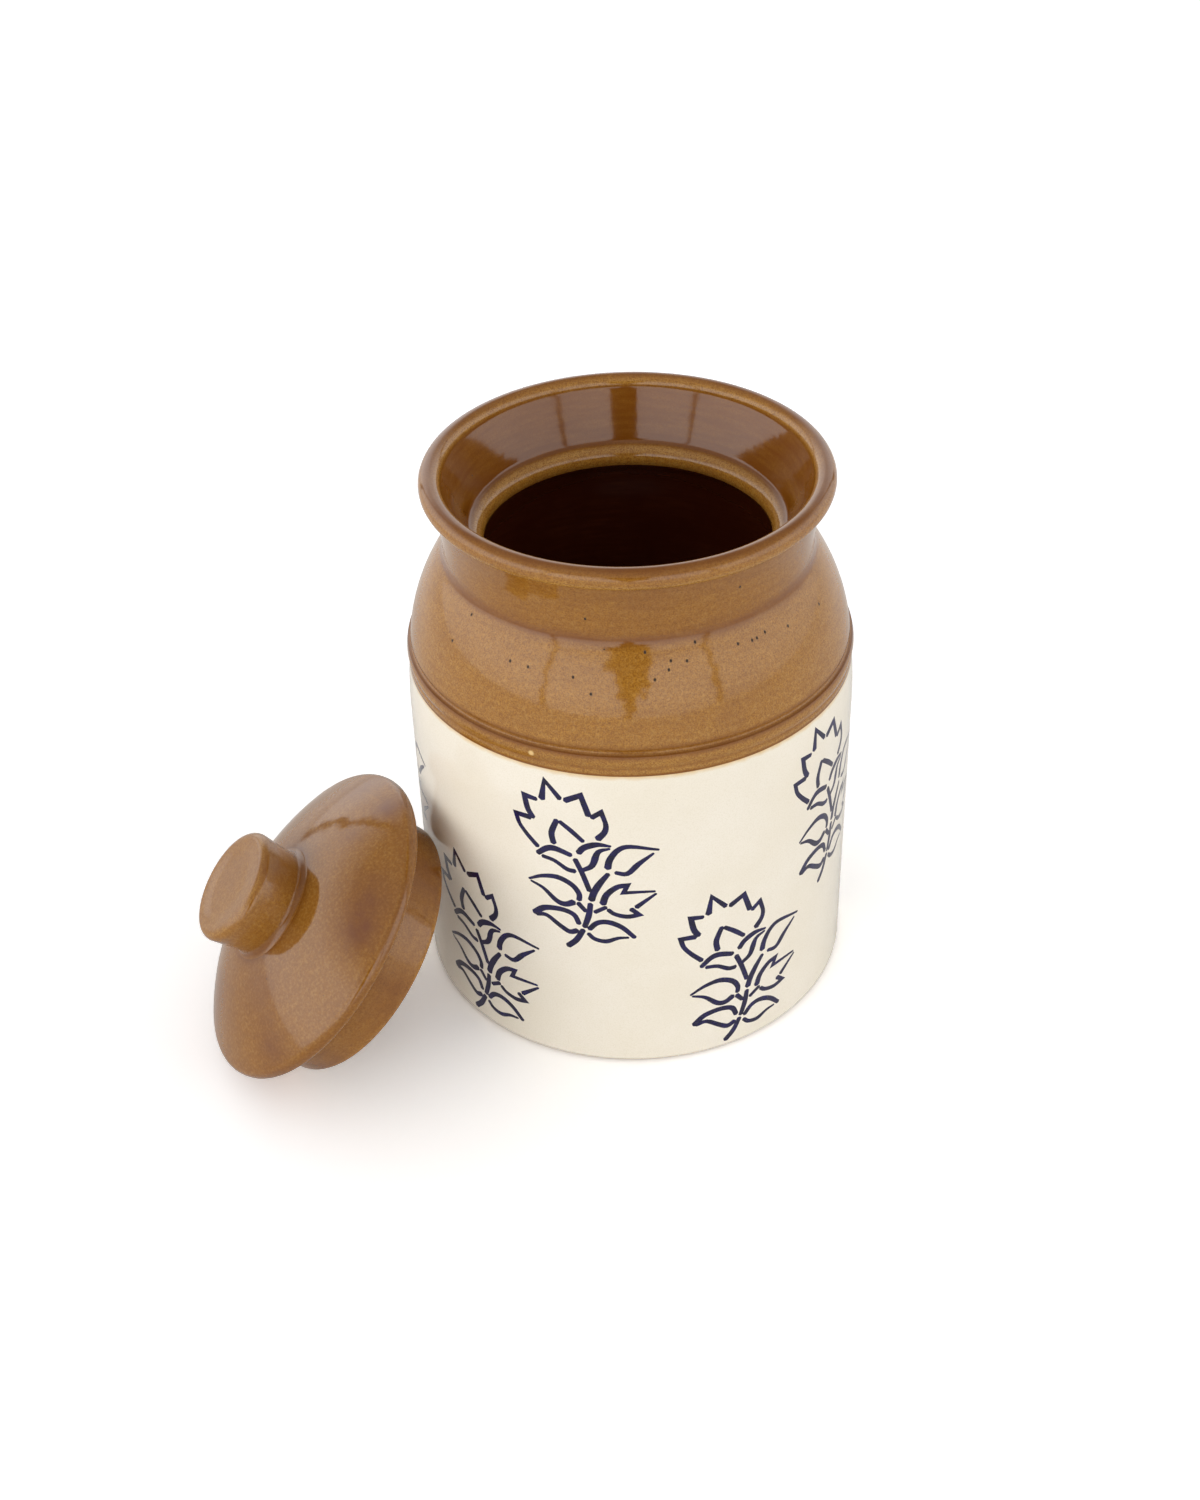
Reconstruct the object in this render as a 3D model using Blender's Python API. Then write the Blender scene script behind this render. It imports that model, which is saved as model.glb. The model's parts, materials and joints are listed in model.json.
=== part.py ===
"""Glazed stoneware storage jar with its lid off, leaning on the jar.

Metres, +Z up. The origin is the middle of the jar's flat base, and the jar's
axis is Z. Each solid is turned from a profile of (radius, height) points.
The jar is a cream pot with a brown shoulder and neck luted on at the seam.
The lid is a domed disc with a collar under it and a knob on top.
"""
import math

import bmesh
import bpy
from mathutils import Matrix, Vector

MM = 0.001

# Clearance between two pieces that are luted together or touch
JOINT_GAP = 0.3 * MM
# Vertices closer than this are one vertex
WELD_DISTANCE = 0.001 * MM

# Jar, overall
JAR_HEIGHT = 153.0 * MM
BODY_RADIUS = 60.0 * MM
WALL = 6.0 * MM

# Cream pot, whose wall draws in a little below the seam
BASE_EDGE_ROUND = 1.8 * MM
BASE_THICKNESS = 7.5 * MM
FLOOR_FILLET = 6.0 * MM
WALL_DRAW_IN = 0.8 * MM
WALL_DRAW_IN_HEIGHT = 14.0 * MM
SEAM_RADIUS = BODY_RADIUS - WALL_DRAW_IN

# Shoulder, an arc that starts upright at the seam and ends at the neck
SHOULDER_STEP = 0.3 * MM
SHOULDER_ROUND = 52.0 * MM
SHOULDER_WIDTH = 10.9 * MM
SHOULDER_RADIUS = SEAM_RADIUS - SHOULDER_STEP
SHOULDER_RISE = math.sqrt(SHOULDER_ROUND ** 2 - (SHOULDER_ROUND - SHOULDER_WIDTH) ** 2)
NECK_FOOT_RADIUS = SHOULDER_RADIUS - SHOULDER_WIDTH
CREASE_FILLET = 3.0 * MM

# Flared neck and the round lip on it
NECK_HEIGHT = 22.1 * MM
NECK_FLARE = 2.6 * MM
NECK_HOLLOW = 0.7 * MM
NECK_TOP_RADIUS = NECK_FOOT_RADIUS + NECK_FLARE
LIP_ROUND = 2.8 * MM
LIP_OVERHANG = 2.4 * MM
LIP_RADIUS = NECK_TOP_RADIUS + LIP_OVERHANG

# Seam between the cream pot and the brown shoulder
SEAM_HEIGHT = JAR_HEIGHT - NECK_HEIGHT - SHOULDER_RISE - JOINT_GAP / 2

# Raised bead above the seam and the groove over it
BEAD_RISE = 2.0 * MM
BEAD_HEIGHT = 3.6 * MM
BEAD_PROUD = 0.35 * MM
GROOVE_HEIGHT = 1.7 * MM
GROOVE_DEPTH = 0.7 * MM

# Ledge inside the neck and the round rib that narrows the mouth
MOUTH_DRAW_IN = 10.8 * MM
MOUTH_RADIUS = NECK_FOOT_RADIUS - MOUTH_DRAW_IN
LEDGE_WIDTH = 4.1 * MM
LEDGE_RADIUS = MOUTH_RADIUS + LEDGE_WIDTH
LEDGE_DEPTH = 16.0 * MM
LEDGE_HEIGHT = JAR_HEIGHT - LEDGE_DEPTH
RIB_ROUND = 3.3 * MM
RIB_DROP = 3.7 * MM
# How far the rib curls under before it meets the shoulder's inside
RIB_CURL = math.radians(60)

# Lid disc, measured from the disc's underside
LID_OVERLAP = 2.9 * MM
LID_RADIUS = LEDGE_RADIUS + LID_OVERLAP
LID_EDGE_LOWER_ROUND = 1.6 * MM
LID_EDGE_BAND = 0.5 * MM
LID_EDGE_UPPER_ROUND = 2.6 * MM
LID_EDGE_HEIGHT = LID_EDGE_LOWER_ROUND + LID_EDGE_BAND + LID_EDGE_UPPER_ROUND
DOME_ROUND = 78.0 * MM
DOME_WALL = 6.0 * MM

# Collar that drops into the mouth
COLLAR_CLEARANCE = 0.4 * MM
COLLAR_DEPTH = 14.4 * MM
COLLAR_FLARE = 0.5 * MM
COLLAR_RADIUS = MOUTH_RADIUS - COLLAR_CLEARANCE - COLLAR_FLARE
COLLAR_WALL = 5.5 * MM
COLLAR_EDGE_ROUND = 1.2 * MM

# Knob
KNOB_WAIST_RADIUS = 14.6 * MM
KNOB_FOOT_FILLET = 1.9 * MM
KNOB_FOOT_RADIUS = KNOB_WAIST_RADIUS + KNOB_FOOT_FILLET
KNOB_FLARE = 0.9 * MM
KNOB_RADIUS = KNOB_WAIST_RADIUS + KNOB_FLARE
KNOB_HEIGHT = 13.3 * MM
KNOB_EDGE_ROUND = 2.3 * MM
KNOB_RIM_WIDTH = 3.5 * MM
KNOB_DISH_RADIUS = KNOB_RADIUS - KNOB_RIM_WIDTH
KNOB_DISH_DEPTH = 0.5 * MM
# Flat ring of the dome left round the knob's foot
KNOB_SEAT_MARGIN = 0.4 * MM

# The lid leans on the pot: tilt of its axis from upright, the way that its
# knob faces, and the side of the jar that it stands on
LID_TILT = math.radians(47.6)
LID_FACING = math.radians(192.4)
LID_PLACE = math.radians(206.0)
# Air left between the collar and the pot where the lid leans
LEAN_GAP = 0.8 * MM
# Search for the place where the collar meets the pot
CONTACT_SAMPLES = 1440
CONTACT_ROUNDS = 12

JAR_SEGMENTS = 72
LID_SEGMENTS = 56
KNOB_SEGMENTS = 40
# Edges sharper than this stay crisp in the shading
SHARP_ANGLE = math.radians(35)

# Linear colours with roughness
CREAM_GLAZE = ((0.80, 0.70, 0.50), 0.12)
BROWN_GLAZE = ((0.38, 0.17, 0.045), 0.10)


def clear_scene():
    """Remove every object of the open scene."""
    for item in list(bpy.data.objects):
        bpy.data.objects.remove(item, do_unlink=True)


def glaze(name, finish):
    """A glossy glaze of one colour."""
    colour, roughness = finish
    material = bpy.data.materials.new(name)
    material.use_nodes = True
    shader = material.node_tree.nodes["Principled BSDF"]
    shader.inputs["Base Color"].default_value = (*colour, 1.0)
    shader.inputs["Roughness"].default_value = roughness
    shader.inputs["Metallic"].default_value = 0.0
    material.diffuse_color = (*colour, 1.0)
    return material


def arc(centre, radius, start, end, steps):
    """Points of a profile arc, angles in radians from the outward direction."""
    points = []
    for step in range(steps + 1):
        angle = start + (end - start) * step / steps
        points.append((centre[0] + radius * math.cos(angle),
                       centre[1] + radius * math.sin(angle)))
    return points


def wave(start, end, rise, steps):
    """A line from start to end, pushed sideways by half a sine wave."""
    run = Vector(end) - Vector(start)
    side = Vector((run.y, -run.x)).normalized()
    points = []
    for step in range(steps + 1):
        share = step / steps
        point = Vector(start) + run * share + side * rise * math.sin(math.pi * share)
        points.append((point.x, point.y))
    return points


def corner(before, point, after, radius, steps):
    """A profile corner rounded with a fillet."""
    middle = Vector(point)
    back = (Vector(before) - middle).normalized()
    ahead = (Vector(after) - middle).normalized()
    half = back.angle(ahead) / 2
    reach = radius / math.tan(half)
    centre = middle + (back + ahead).normalized() * radius / math.sin(half)
    first = middle + back * reach - centre
    last = middle + ahead * reach - centre
    turn = first.angle_signed(last)
    points = []
    for step in range(steps + 1):
        angle = turn * step / steps
        spoke = Matrix.Rotation(-angle, 2) @ first
        points.append((centre.x + spoke.x, centre.y + spoke.y))
    return points


def turned(name, profile, segments, material, parent=None):
    """A closed solid turned from a profile round its own Z axis."""
    work = bmesh.new()
    verts = [work.verts.new((radius, 0.0, height)) for radius, height in profile]
    edges = [work.edges.new(pair) for pair in zip(verts, verts[1:])]
    if profile[0][0] > 0.0:
        edges.append(work.edges.new((verts[-1], verts[0])))
    bmesh.ops.spin(work, geom=verts + edges, cent=(0, 0, 0), axis=(0, 0, 1),
                   angle=math.tau, steps=segments, use_merge=True)
    bmesh.ops.remove_doubles(work, verts=work.verts[:], dist=WELD_DISTANCE)
    bmesh.ops.recalc_face_normals(work, faces=work.faces[:])
    mesh = bpy.data.meshes.new(name)
    work.to_mesh(mesh)
    work.free()
    mesh.shade_smooth()
    mesh.set_sharp_from_angle(angle=SHARP_ANGLE)
    mesh.materials.append(material)
    solid = bpy.data.objects.new(name, mesh)
    bpy.context.scene.collection.objects.link(solid)
    solid.parent = parent
    return solid


def pot_profile():
    """The cream pot: flat base, upright wall and an open top at the seam."""
    top = SEAM_HEIGHT - JOINT_GAP / 2
    inside = SHOULDER_RADIUS - WALL
    edge = (BODY_RADIUS - BASE_EDGE_ROUND, BASE_EDGE_ROUND)
    hollow = (inside - FLOOR_FILLET, BASE_THICKNESS + FLOOR_FILLET)
    points = [(0.0, 0.0)]
    points += arc(edge, BASE_EDGE_ROUND, -math.pi / 2, 0.0, 4)
    for step in range(5):
        share = step / 4
        points.append((BODY_RADIUS + (SEAM_RADIUS - BODY_RADIUS) * share ** 2,
                       top - WALL_DRAW_IN_HEIGHT * (1 - share)))
    points += [(inside, top)]
    points += arc(hollow, FLOOR_FILLET, 0.0, -math.pi / 2, 5)
    points += [(0.0, BASE_THICKNESS)]
    return points


def bead_profile(bottom):
    """Outside of the wall from the seam over the bead and the groove."""
    bead_foot = (SEAM_RADIUS, SEAM_HEIGHT + BEAD_RISE)
    bead_top = (SEAM_RADIUS, bead_foot[1] + BEAD_HEIGHT)
    groove_top_height = bead_top[1] + GROOVE_HEIGHT
    rise = math.asin((groove_top_height - bottom) / SHOULDER_ROUND)
    centre_radius = SHOULDER_RADIUS - SHOULDER_ROUND
    groove_top = (centre_radius + SHOULDER_ROUND * math.cos(rise), groove_top_height)
    points = [(SEAM_RADIUS, bottom)]
    points += wave(bead_foot, bead_top, BEAD_PROUD, 4)
    points += wave(bead_top, groove_top, -GROOVE_DEPTH, 4)[1:]
    return points, rise


def shoulder_and_neck_profile():
    """The brown upper half: bead, shoulder, neck, lip, ledge and mouth."""
    bottom = SEAM_HEIGHT + JOINT_GAP / 2
    centre = (SHOULDER_RADIUS - SHOULDER_ROUND, bottom)
    inner_round = SHOULDER_ROUND - WALL
    lip_centre = (LIP_RADIUS - LIP_ROUND, JAR_HEIGHT - LIP_ROUND)
    rib_centre = (MOUTH_RADIUS + RIB_ROUND, LEDGE_HEIGHT - RIB_DROP)
    crease_angle = math.asin(SHOULDER_RISE / SHOULDER_ROUND)
    crease = (NECK_FOOT_RADIUS, JAR_HEIGHT - NECK_HEIGHT)
    neck_top = (NECK_TOP_RADIUS, lip_centre[1] - LIP_ROUND)

    # Outside, from the seam up to the lip
    points, groove_angle = bead_profile(bottom)
    fillet_angle = CREASE_FILLET / SHOULDER_ROUND
    shoulder = arc(centre, SHOULDER_ROUND, groove_angle, crease_angle - fillet_angle, 7)
    points += shoulder[1:-1]
    neck = wave(crease, neck_top, -NECK_HOLLOW, 5)
    points += corner(shoulder[-2], crease, neck[1], CREASE_FILLET, 3)
    points += neck[2:-1]

    # Lip, from its outer underside over the top to its inner side
    lip_start = -math.acos((NECK_TOP_RADIUS - lip_centre[0]) / LIP_ROUND)
    points += arc(lip_centre, LIP_ROUND, lip_start, math.pi / 2, 6)
    points += arc(lip_centre, LIP_ROUND, math.pi / 2, math.pi, 4)[1:]

    # Inside, from the ledge over the rib and down the shoulder to the seam
    ledge_angle = math.acos((LEDGE_RADIUS - rib_centre[0]) / RIB_ROUND)
    rib_end = math.pi + RIB_CURL
    points += [(LEDGE_RADIUS, LEDGE_HEIGHT)]
    points += arc(rib_centre, RIB_ROUND, ledge_angle, rib_end, 7)
    meeting = rib_centre[0] + RIB_ROUND
    inner_angle = math.acos((meeting - centre[0]) / inner_round)
    points += arc(centre, inner_round, inner_angle, 0.0, 6)
    return points


def dome_middle():
    """Height of the centre of the dome, which runs smoothly into the edge."""
    edge_radius = LID_RADIUS - LID_EDGE_UPPER_ROUND
    edge_height = LID_EDGE_HEIGHT - LID_EDGE_UPPER_ROUND
    return edge_height - math.sqrt((DOME_ROUND - LID_EDGE_UPPER_ROUND) ** 2 - edge_radius ** 2)


def knob_seat():
    """Radius and height of the flat on the dome that the knob stands on."""
    radius = KNOB_FOOT_RADIUS + KNOB_SEAT_MARGIN
    return radius, dome_middle() + math.sqrt(DOME_ROUND ** 2 - radius ** 2)


def dome_profile():
    """The lid's disc: flat under its edge, domed above, hollow below."""
    centre = (0.0, dome_middle())
    seat_radius, seat_height = knob_seat()
    upper = (LID_RADIUS - LID_EDGE_UPPER_ROUND, LID_EDGE_HEIGHT - LID_EDGE_UPPER_ROUND)
    lower = (LID_RADIUS - LID_EDGE_LOWER_ROUND, LID_EDGE_LOWER_ROUND)
    start = math.acos(upper[0] / (DOME_ROUND - LID_EDGE_UPPER_ROUND))
    end = math.acos(seat_radius / DOME_ROUND)
    inner_round = DOME_ROUND - DOME_WALL
    hollow_radius = COLLAR_RADIUS + COLLAR_FLARE - COLLAR_WALL
    hollow_start = math.acos(hollow_radius / inner_round)

    points = [(hollow_radius, 0.0)]
    points += arc(lower, LID_EDGE_LOWER_ROUND, -math.pi / 2, 0.0, 3)
    points += arc(upper, LID_EDGE_UPPER_ROUND, 0.0, start, 3)
    points += arc(centre, DOME_ROUND, start, end, 5)[1:]
    points += [(0.0, seat_height)]
    ceiling = arc(centre, inner_round, math.pi / 2, hollow_start, 4)
    return [(0.0, ceiling[0][1])] + ceiling[1:] + points


def collar_profile():
    """The collar: an upright ring with a rounded lower rim."""
    top = -JOINT_GAP
    outside = COLLAR_RADIUS - COLLAR_EDGE_ROUND
    inside = COLLAR_RADIUS + COLLAR_FLARE - COLLAR_WALL
    height = COLLAR_EDGE_ROUND - COLLAR_DEPTH
    points = [(inside, top)]
    points += arc((inside + COLLAR_EDGE_ROUND, height), COLLAR_EDGE_ROUND,
                  math.pi, 1.5 * math.pi, 3)
    points += arc((outside, height), COLLAR_EDGE_ROUND, -math.pi / 2, 0.0, 3)
    points += [(COLLAR_RADIUS + COLLAR_FLARE, top)]
    return points


def knob_profile():
    """The knob: filleted foot, slightly flared side and a shallow dish."""
    foot = knob_seat()[1] + JOINT_GAP
    top = foot + KNOB_HEIGHT
    fillet_centre = (KNOB_FOOT_RADIUS, foot + KNOB_FOOT_FILLET)
    edge_centre = (KNOB_RADIUS - KNOB_EDGE_ROUND, top - KNOB_EDGE_ROUND)
    points = [(0.0, foot)]
    points += arc(fillet_centre, KNOB_FOOT_FILLET, 1.5 * math.pi, math.pi, 3)
    points += arc(edge_centre, KNOB_EDGE_ROUND, 0.0, math.pi / 2, 4)
    points += [(KNOB_DISH_RADIUS, top - KNOB_DISH_DEPTH / 2)]
    points += [(0.0, top - KNOB_DISH_DEPTH)]
    return points


def lid_rotation():
    """Turns the lid's own axis from upright to its leaning direction."""
    return Matrix.Rotation(LID_FACING, 3, "Z") @ Matrix.Rotation(LID_TILT, 3, "Y")


def collar_reach(place, turn):
    """Least distance of the collar's round rim from the jar's axis."""
    ring = COLLAR_RADIUS - COLLAR_EDGE_ROUND
    height = COLLAR_EDGE_ROUND - COLLAR_DEPTH
    nearest = math.inf
    for sample in range(CONTACT_SAMPLES):
        angle = math.tau * sample / CONTACT_SAMPLES
        point = place + turn @ Vector((ring * math.cos(angle), ring * math.sin(angle), height))
        nearest = min(nearest, math.hypot(point.x, point.y))
    return nearest - COLLAR_EDGE_ROUND


def rim_drop(radius, rounding, underside):
    """How far the lowest point of a round rim lies below the leaning disc."""
    ring = (radius - rounding) * math.sin(LID_TILT)
    return ring + rounding - (underside + rounding) * math.cos(LID_TILT)


def lid_place():
    """Where the lid leans: its rim on the ground and its collar on the pot."""
    turn = lid_rotation()
    disc_drop = rim_drop(LID_RADIUS, LID_EDGE_LOWER_ROUND, 0.0)
    collar_drop = rim_drop(COLLAR_RADIUS, COLLAR_EDGE_ROUND, -COLLAR_DEPTH)
    height = max(disc_drop, collar_drop)
    distance = BODY_RADIUS + LID_RADIUS
    for _ in range(CONTACT_ROUNDS):
        place = Vector((distance * math.cos(LID_PLACE), distance * math.sin(LID_PLACE), height))
        distance += BODY_RADIUS + LEAN_GAP - collar_reach(place, turn)
    return place, turn


def main():
    """Build the jar and the leaning lid."""
    clear_scene()
    cream = glaze("cream_glaze", CREAM_GLAZE)
    brown = glaze("brown_glaze", BROWN_GLAZE)
    lid_brown = glaze("lid_brown_glaze", BROWN_GLAZE)
    collar_brown = glaze("collar_brown_glaze", BROWN_GLAZE)
    knob_brown = glaze("knob_brown_glaze", BROWN_GLAZE)

    turned("jar_pot", pot_profile(), JAR_SEGMENTS, cream)
    turned("jar_shoulder_and_neck", shoulder_and_neck_profile(), JAR_SEGMENTS, brown)

    place, turn = lid_place()
    lid_axis = bpy.data.objects.new("lid_axis", None)
    lid_axis.matrix_world = Matrix.Translation(place) @ turn.to_4x4()
    bpy.context.scene.collection.objects.link(lid_axis)
    turned("lid_dome", dome_profile(), LID_SEGMENTS, lid_brown, lid_axis)
    turned("lid_collar", collar_profile(), LID_SEGMENTS, collar_brown, lid_axis)
    turned("lid_knob", knob_profile(), KNOB_SEGMENTS, knob_brown, lid_axis)


main()
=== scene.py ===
import json
from math import acos, asin, atan2, ceil, cos, dist, hypot, pi, radians, sin, sqrt, tan, tau

import bpy
import numpy as np
from mathutils import Matrix, Vector
from mathutils.geometry import delaunay_2d_cdt


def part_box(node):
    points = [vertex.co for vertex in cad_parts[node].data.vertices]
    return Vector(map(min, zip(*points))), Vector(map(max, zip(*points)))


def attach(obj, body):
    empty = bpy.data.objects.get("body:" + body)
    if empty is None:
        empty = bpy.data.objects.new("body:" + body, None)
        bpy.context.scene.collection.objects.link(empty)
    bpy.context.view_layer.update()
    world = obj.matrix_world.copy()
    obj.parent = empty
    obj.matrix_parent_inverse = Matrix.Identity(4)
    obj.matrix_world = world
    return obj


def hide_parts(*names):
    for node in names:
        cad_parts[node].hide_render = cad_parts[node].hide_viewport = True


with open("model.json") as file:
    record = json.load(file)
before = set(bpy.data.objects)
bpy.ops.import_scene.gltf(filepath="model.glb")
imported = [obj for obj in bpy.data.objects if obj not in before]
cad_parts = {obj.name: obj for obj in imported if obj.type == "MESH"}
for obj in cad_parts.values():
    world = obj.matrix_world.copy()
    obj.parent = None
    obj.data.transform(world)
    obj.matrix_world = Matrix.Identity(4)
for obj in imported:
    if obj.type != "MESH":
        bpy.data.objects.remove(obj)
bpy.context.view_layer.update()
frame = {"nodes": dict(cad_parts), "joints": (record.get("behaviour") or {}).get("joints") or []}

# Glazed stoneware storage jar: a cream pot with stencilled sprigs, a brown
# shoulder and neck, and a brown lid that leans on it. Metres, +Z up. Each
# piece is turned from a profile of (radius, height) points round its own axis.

MM = 0.001

# Jar, from the frame
JOINT_GAP = 0.3 * MM
POT_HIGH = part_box("jar_pot")[1]
NECK_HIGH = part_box("jar_shoulder_and_neck")[1]
BODY_RADIUS = POT_HIGH.x
SEAM_HEIGHT = POT_HIGH.z + JOINT_GAP / 2
JAR_HEIGHT = NECK_HIGH.z

# Pot
WALL = 6.0 * MM
BASE_EDGE_ROUND = 1.8 * MM
BASE_THICKNESS = 7.5 * MM
FLOOR_FILLET = 6.0 * MM
WALL_DRAW_IN = 0.8 * MM
WALL_DRAW_IN_HEIGHT = 14.0 * MM
SEAM_RADIUS = BODY_RADIUS - WALL_DRAW_IN
# The cream glaze stops above the foot, and the biscuit below it is bare
GLAZE_LINE_HEIGHT = 0.75 * MM
CREAM_SLOT, INDIGO_SLOT, INSIDE_SLOT, BARE_SLOT = range(4)

# Shoulder, neck and lip
SHOULDER_STEP = 0.3 * MM
SHOULDER_ROUND = 52.0 * MM
SHOULDER_WIDTH = 10.9 * MM
SHOULDER_RADIUS = SEAM_RADIUS - SHOULDER_STEP
NECK_FOOT_RADIUS = SHOULDER_RADIUS - SHOULDER_WIDTH
CREASE_FILLET = 6.0 * MM
# The crease's sides are taken this many profile points away from it
CREASE_POINTS = 3
NECK_HEIGHT = 22.1 * MM
NECK_FLARE = 2.6 * MM
NECK_HOLLOW = 0.7 * MM
NECK_TOP_RADIUS = NECK_FOOT_RADIUS + NECK_FLARE
LIP_ROUND = 2.8 * MM
LIP_OVERHANG = 2.4 * MM
LIP_RADIUS = NECK_TOP_RADIUS + LIP_OVERHANG
LIP_CENTRE = (LIP_RADIUS - LIP_ROUND, JAR_HEIGHT - LIP_ROUND)
LIP = (LIP_CENTRE, LIP_ROUND)
CREASE = (NECK_FOOT_RADIUS, JAR_HEIGHT - NECK_HEIGHT)
BEAD_RISE = 2.0 * MM
FOOT_ROLL_PROUD = 0.15 * MM
BEAD_HEIGHT = 3.6 * MM
BEAD_PROUD = 0.35 * MM
GROOVE_HEIGHT = 1.7 * MM
GROOVE_DEPTH = 0.7 * MM
BEAD_FOOT = (SEAM_RADIUS, SEAM_HEIGHT + BEAD_RISE)
BEAD_TOP = (SEAM_RADIUS, BEAD_FOOT[1] + BEAD_HEIGHT)
GROOVE_TOP_HEIGHT = BEAD_TOP[1] + GROOVE_HEIGHT
# The brown glaze laps a little way down over the cream
LAP_HEIGHT = 0.35 * MM
LAP_PROUD = 0.10 * MM

# Inside of the neck
MOUTH_DRAW_IN = 10.8 * MM
MOUTH_RADIUS = NECK_FOOT_RADIUS - MOUTH_DRAW_IN
LEDGE_WIDTH = 4.1 * MM
LEDGE_RADIUS = MOUTH_RADIUS + LEDGE_WIDTH
LEDGE_DEPTH = 16.0 * MM
LEDGE_HEIGHT = JAR_HEIGHT - LEDGE_DEPTH
LEDGE_FILLET = 1.2 * MM
RIB_ROUND = 3.3 * MM
RIB_DROP = 3.7 * MM
RIB_CURL = radians(60)
RIB_LEAD = RIB_CURL / 4
RIB_CENTRE = (MOUTH_RADIUS + RIB_ROUND, LEDGE_HEIGHT - RIB_DROP)
LEDGE = (LEDGE_RADIUS, LEDGE_HEIGHT)

# Lid disc, measured from the disc's underside
LID_OVERLAP = 2.9 * MM
LID_RADIUS = LEDGE_RADIUS + LID_OVERLAP
LID_EDGE_LOWER_ROUND = 1.6 * MM
LID_EDGE_BAND = 0.5 * MM
LID_EDGE_UPPER_ROUND = 2.6 * MM
LID_EDGE_HEIGHT = LID_EDGE_LOWER_ROUND + LID_EDGE_BAND + LID_EDGE_UPPER_ROUND
DISC_UPPER_CENTRE = (LID_RADIUS - LID_EDGE_UPPER_ROUND, LID_EDGE_HEIGHT - LID_EDGE_UPPER_ROUND)
DISC_UPPER = (DISC_UPPER_CENTRE, LID_EDGE_UPPER_ROUND)
DISC_LOWER = ((LID_RADIUS - LID_EDGE_LOWER_ROUND, LID_EDGE_LOWER_ROUND), LID_EDGE_LOWER_ROUND)
DOME_ROUND = 78.0 * MM
DOME_WALL = 6.0 * MM
COLLAR_CLEARANCE = 0.4 * MM
COLLAR_DEPTH = 14.4 * MM
COLLAR_FLARE = 0.5 * MM
COLLAR_RADIUS = MOUTH_RADIUS - COLLAR_CLEARANCE - COLLAR_FLARE
COLLAR_WALL = 5.5 * MM
COLLAR_EDGE_ROUND = 1.2 * MM
COLLAR_FILLET = 0.7 * MM
BARE_RIM_HEIGHT = COLLAR_EDGE_ROUND / 16

# Knob
KNOB_WAIST_RADIUS = 14.6 * MM
KNOB_FOOT_FILLET = 1.9 * MM
KNOB_FLARE = 0.9 * MM
KNOB_RADIUS = KNOB_WAIST_RADIUS + KNOB_FLARE
KNOB_SEAT_MARGIN = 0.4 * MM
KNOB_HEIGHT = 13.3 * MM
KNOB_EDGE_ROUND = 2.3 * MM
KNOB_RIM_WIDTH = 3.5 * MM
KNOB_DISH_RADIUS = KNOB_RADIUS - KNOB_RIM_WIDTH
KNOB_DISH_DEPTH = 0.35 * MM
KNOB_DISH_ROUND = 4.5 * MM
KNOB_DISH_STEPS = 10

# Fineness of the meshes
WELD = 0.001 * MM
CUT_TOLERANCE = 0.0005 * MM
SHARP_ANGLE = radians(35)
JAR_SEGMENTS = 240
LID_SEGMENTS = 200
KNOB_SEGMENTS = 140
PROFILE_STEP = 0.55 * MM
HIDDEN_STEP = 1.6 * MM
ARC_LEAST_STEPS = 4
CORNER_LEAST_STEPS = 5
WAVE_LEAST_STEPS = 8
# Points this near the lid disc's lowest lie on its underside, and those that
# agree to this many decimals are one
LEVEL_TOLERANCE = 0.01 * MM
LEVEL_DIGITS = 6
# A face whose normal rises more than this isn't part of the upright wall
WALL_RISE_SHARE = 0.5

# Where the glaze runs thin it is pale, and where it pools it is dark; some marks
# are painted highlights and painted shade instead: how far such a mark reaches,
# and how strong it is
HAIR_REACH = 0.35 * MM
LINE_REACH = 0.8 * MM
EDGE_REACH = 1.3 * MM
POOL_REACH = 1.6 * MM
RIM_REACH = 2.2 * MM
STRONG_SHARE = 0.9
CLEAR_SHARE = 0.6
FAINT_SHARE = 0.35
# Where marks lie on a rounding, in degrees from the outward direction
LIP_TURNS = (-30, 80, 150, 190)
RIB_CREST_TURN = 125
DISC_UPPER_TURN = 40
DISC_LOWER_TURN = -60
COLLAR_RIM_TURN = -30
KNOB_RIM_TURN = 55

# Dark specks in the shoulder's glaze: turn in degrees, and height in millimetres
SPECK_PLACES = (
    (-49.5, 126.8), (-52.7, 126.4), (-54.4, 126.4), (-71.4, 129.5),
    (-74.6, 126.1), (-79.8, 124.8), (-79.0, 126.6), (-83.7, 123.0),
    (-85.9, 128.8), (-105.2, 123.1), (-100.2, 119.8), (-118.1, 123.3),
    (-123.7, 123.3), (-102.7, 137.2), (-141.8, 128.4), (-145.2, 120.8),
    (-41.0, 125.3), (-59.0, 126.8), (-24.7, 123.8), (-57.2, 141.6))
SPECK_SIZE = 0.5 * MM
CREAM_SPOT = (-114.7, 102.6)
CREAM_SPOT_SIZE = 0.9 * MM

# Russet blotches of the lid, partly painted shade low on the dome and on the
# collar under the disc: place across and along it and reach, in millimetres,
# and strength
DOME_BLOTCHES = (
    (-27.5, 22.5, 7.0, 0.9), (-22.5, 30.5, 5.5, 0.8),
    (-40.5, -4.0, 4.0, 1.0), (-30.0, 0.5, 3.5, 0.5),
    (-34.0, -20.0, 6.0, 0.5), (17.0, 35.0, 6.0, 0.6),
    (12.0, 22.0, 9.0, 0.4), (14.0, -30.0, 10.0, 0.6),
    (33.0, 2.0, 8.0, 0.5))
# The collar's blotches also darken it as painted shade under the disc
COLLAR_BLOTCHES = (
    (-34.3, 11.0, 9.0, 0.8), (-12.0, 34.0, 9.0, 0.5),
    (20.0, 30.0, 9.0, 0.6), (-10.0, -35.0, 12.0, 0.6))
KNOB_BLOTCHES = ((1.0, -1.0, 6.0, 0.35), (-14.0, 6.0, 5.0, 0.5))

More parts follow.
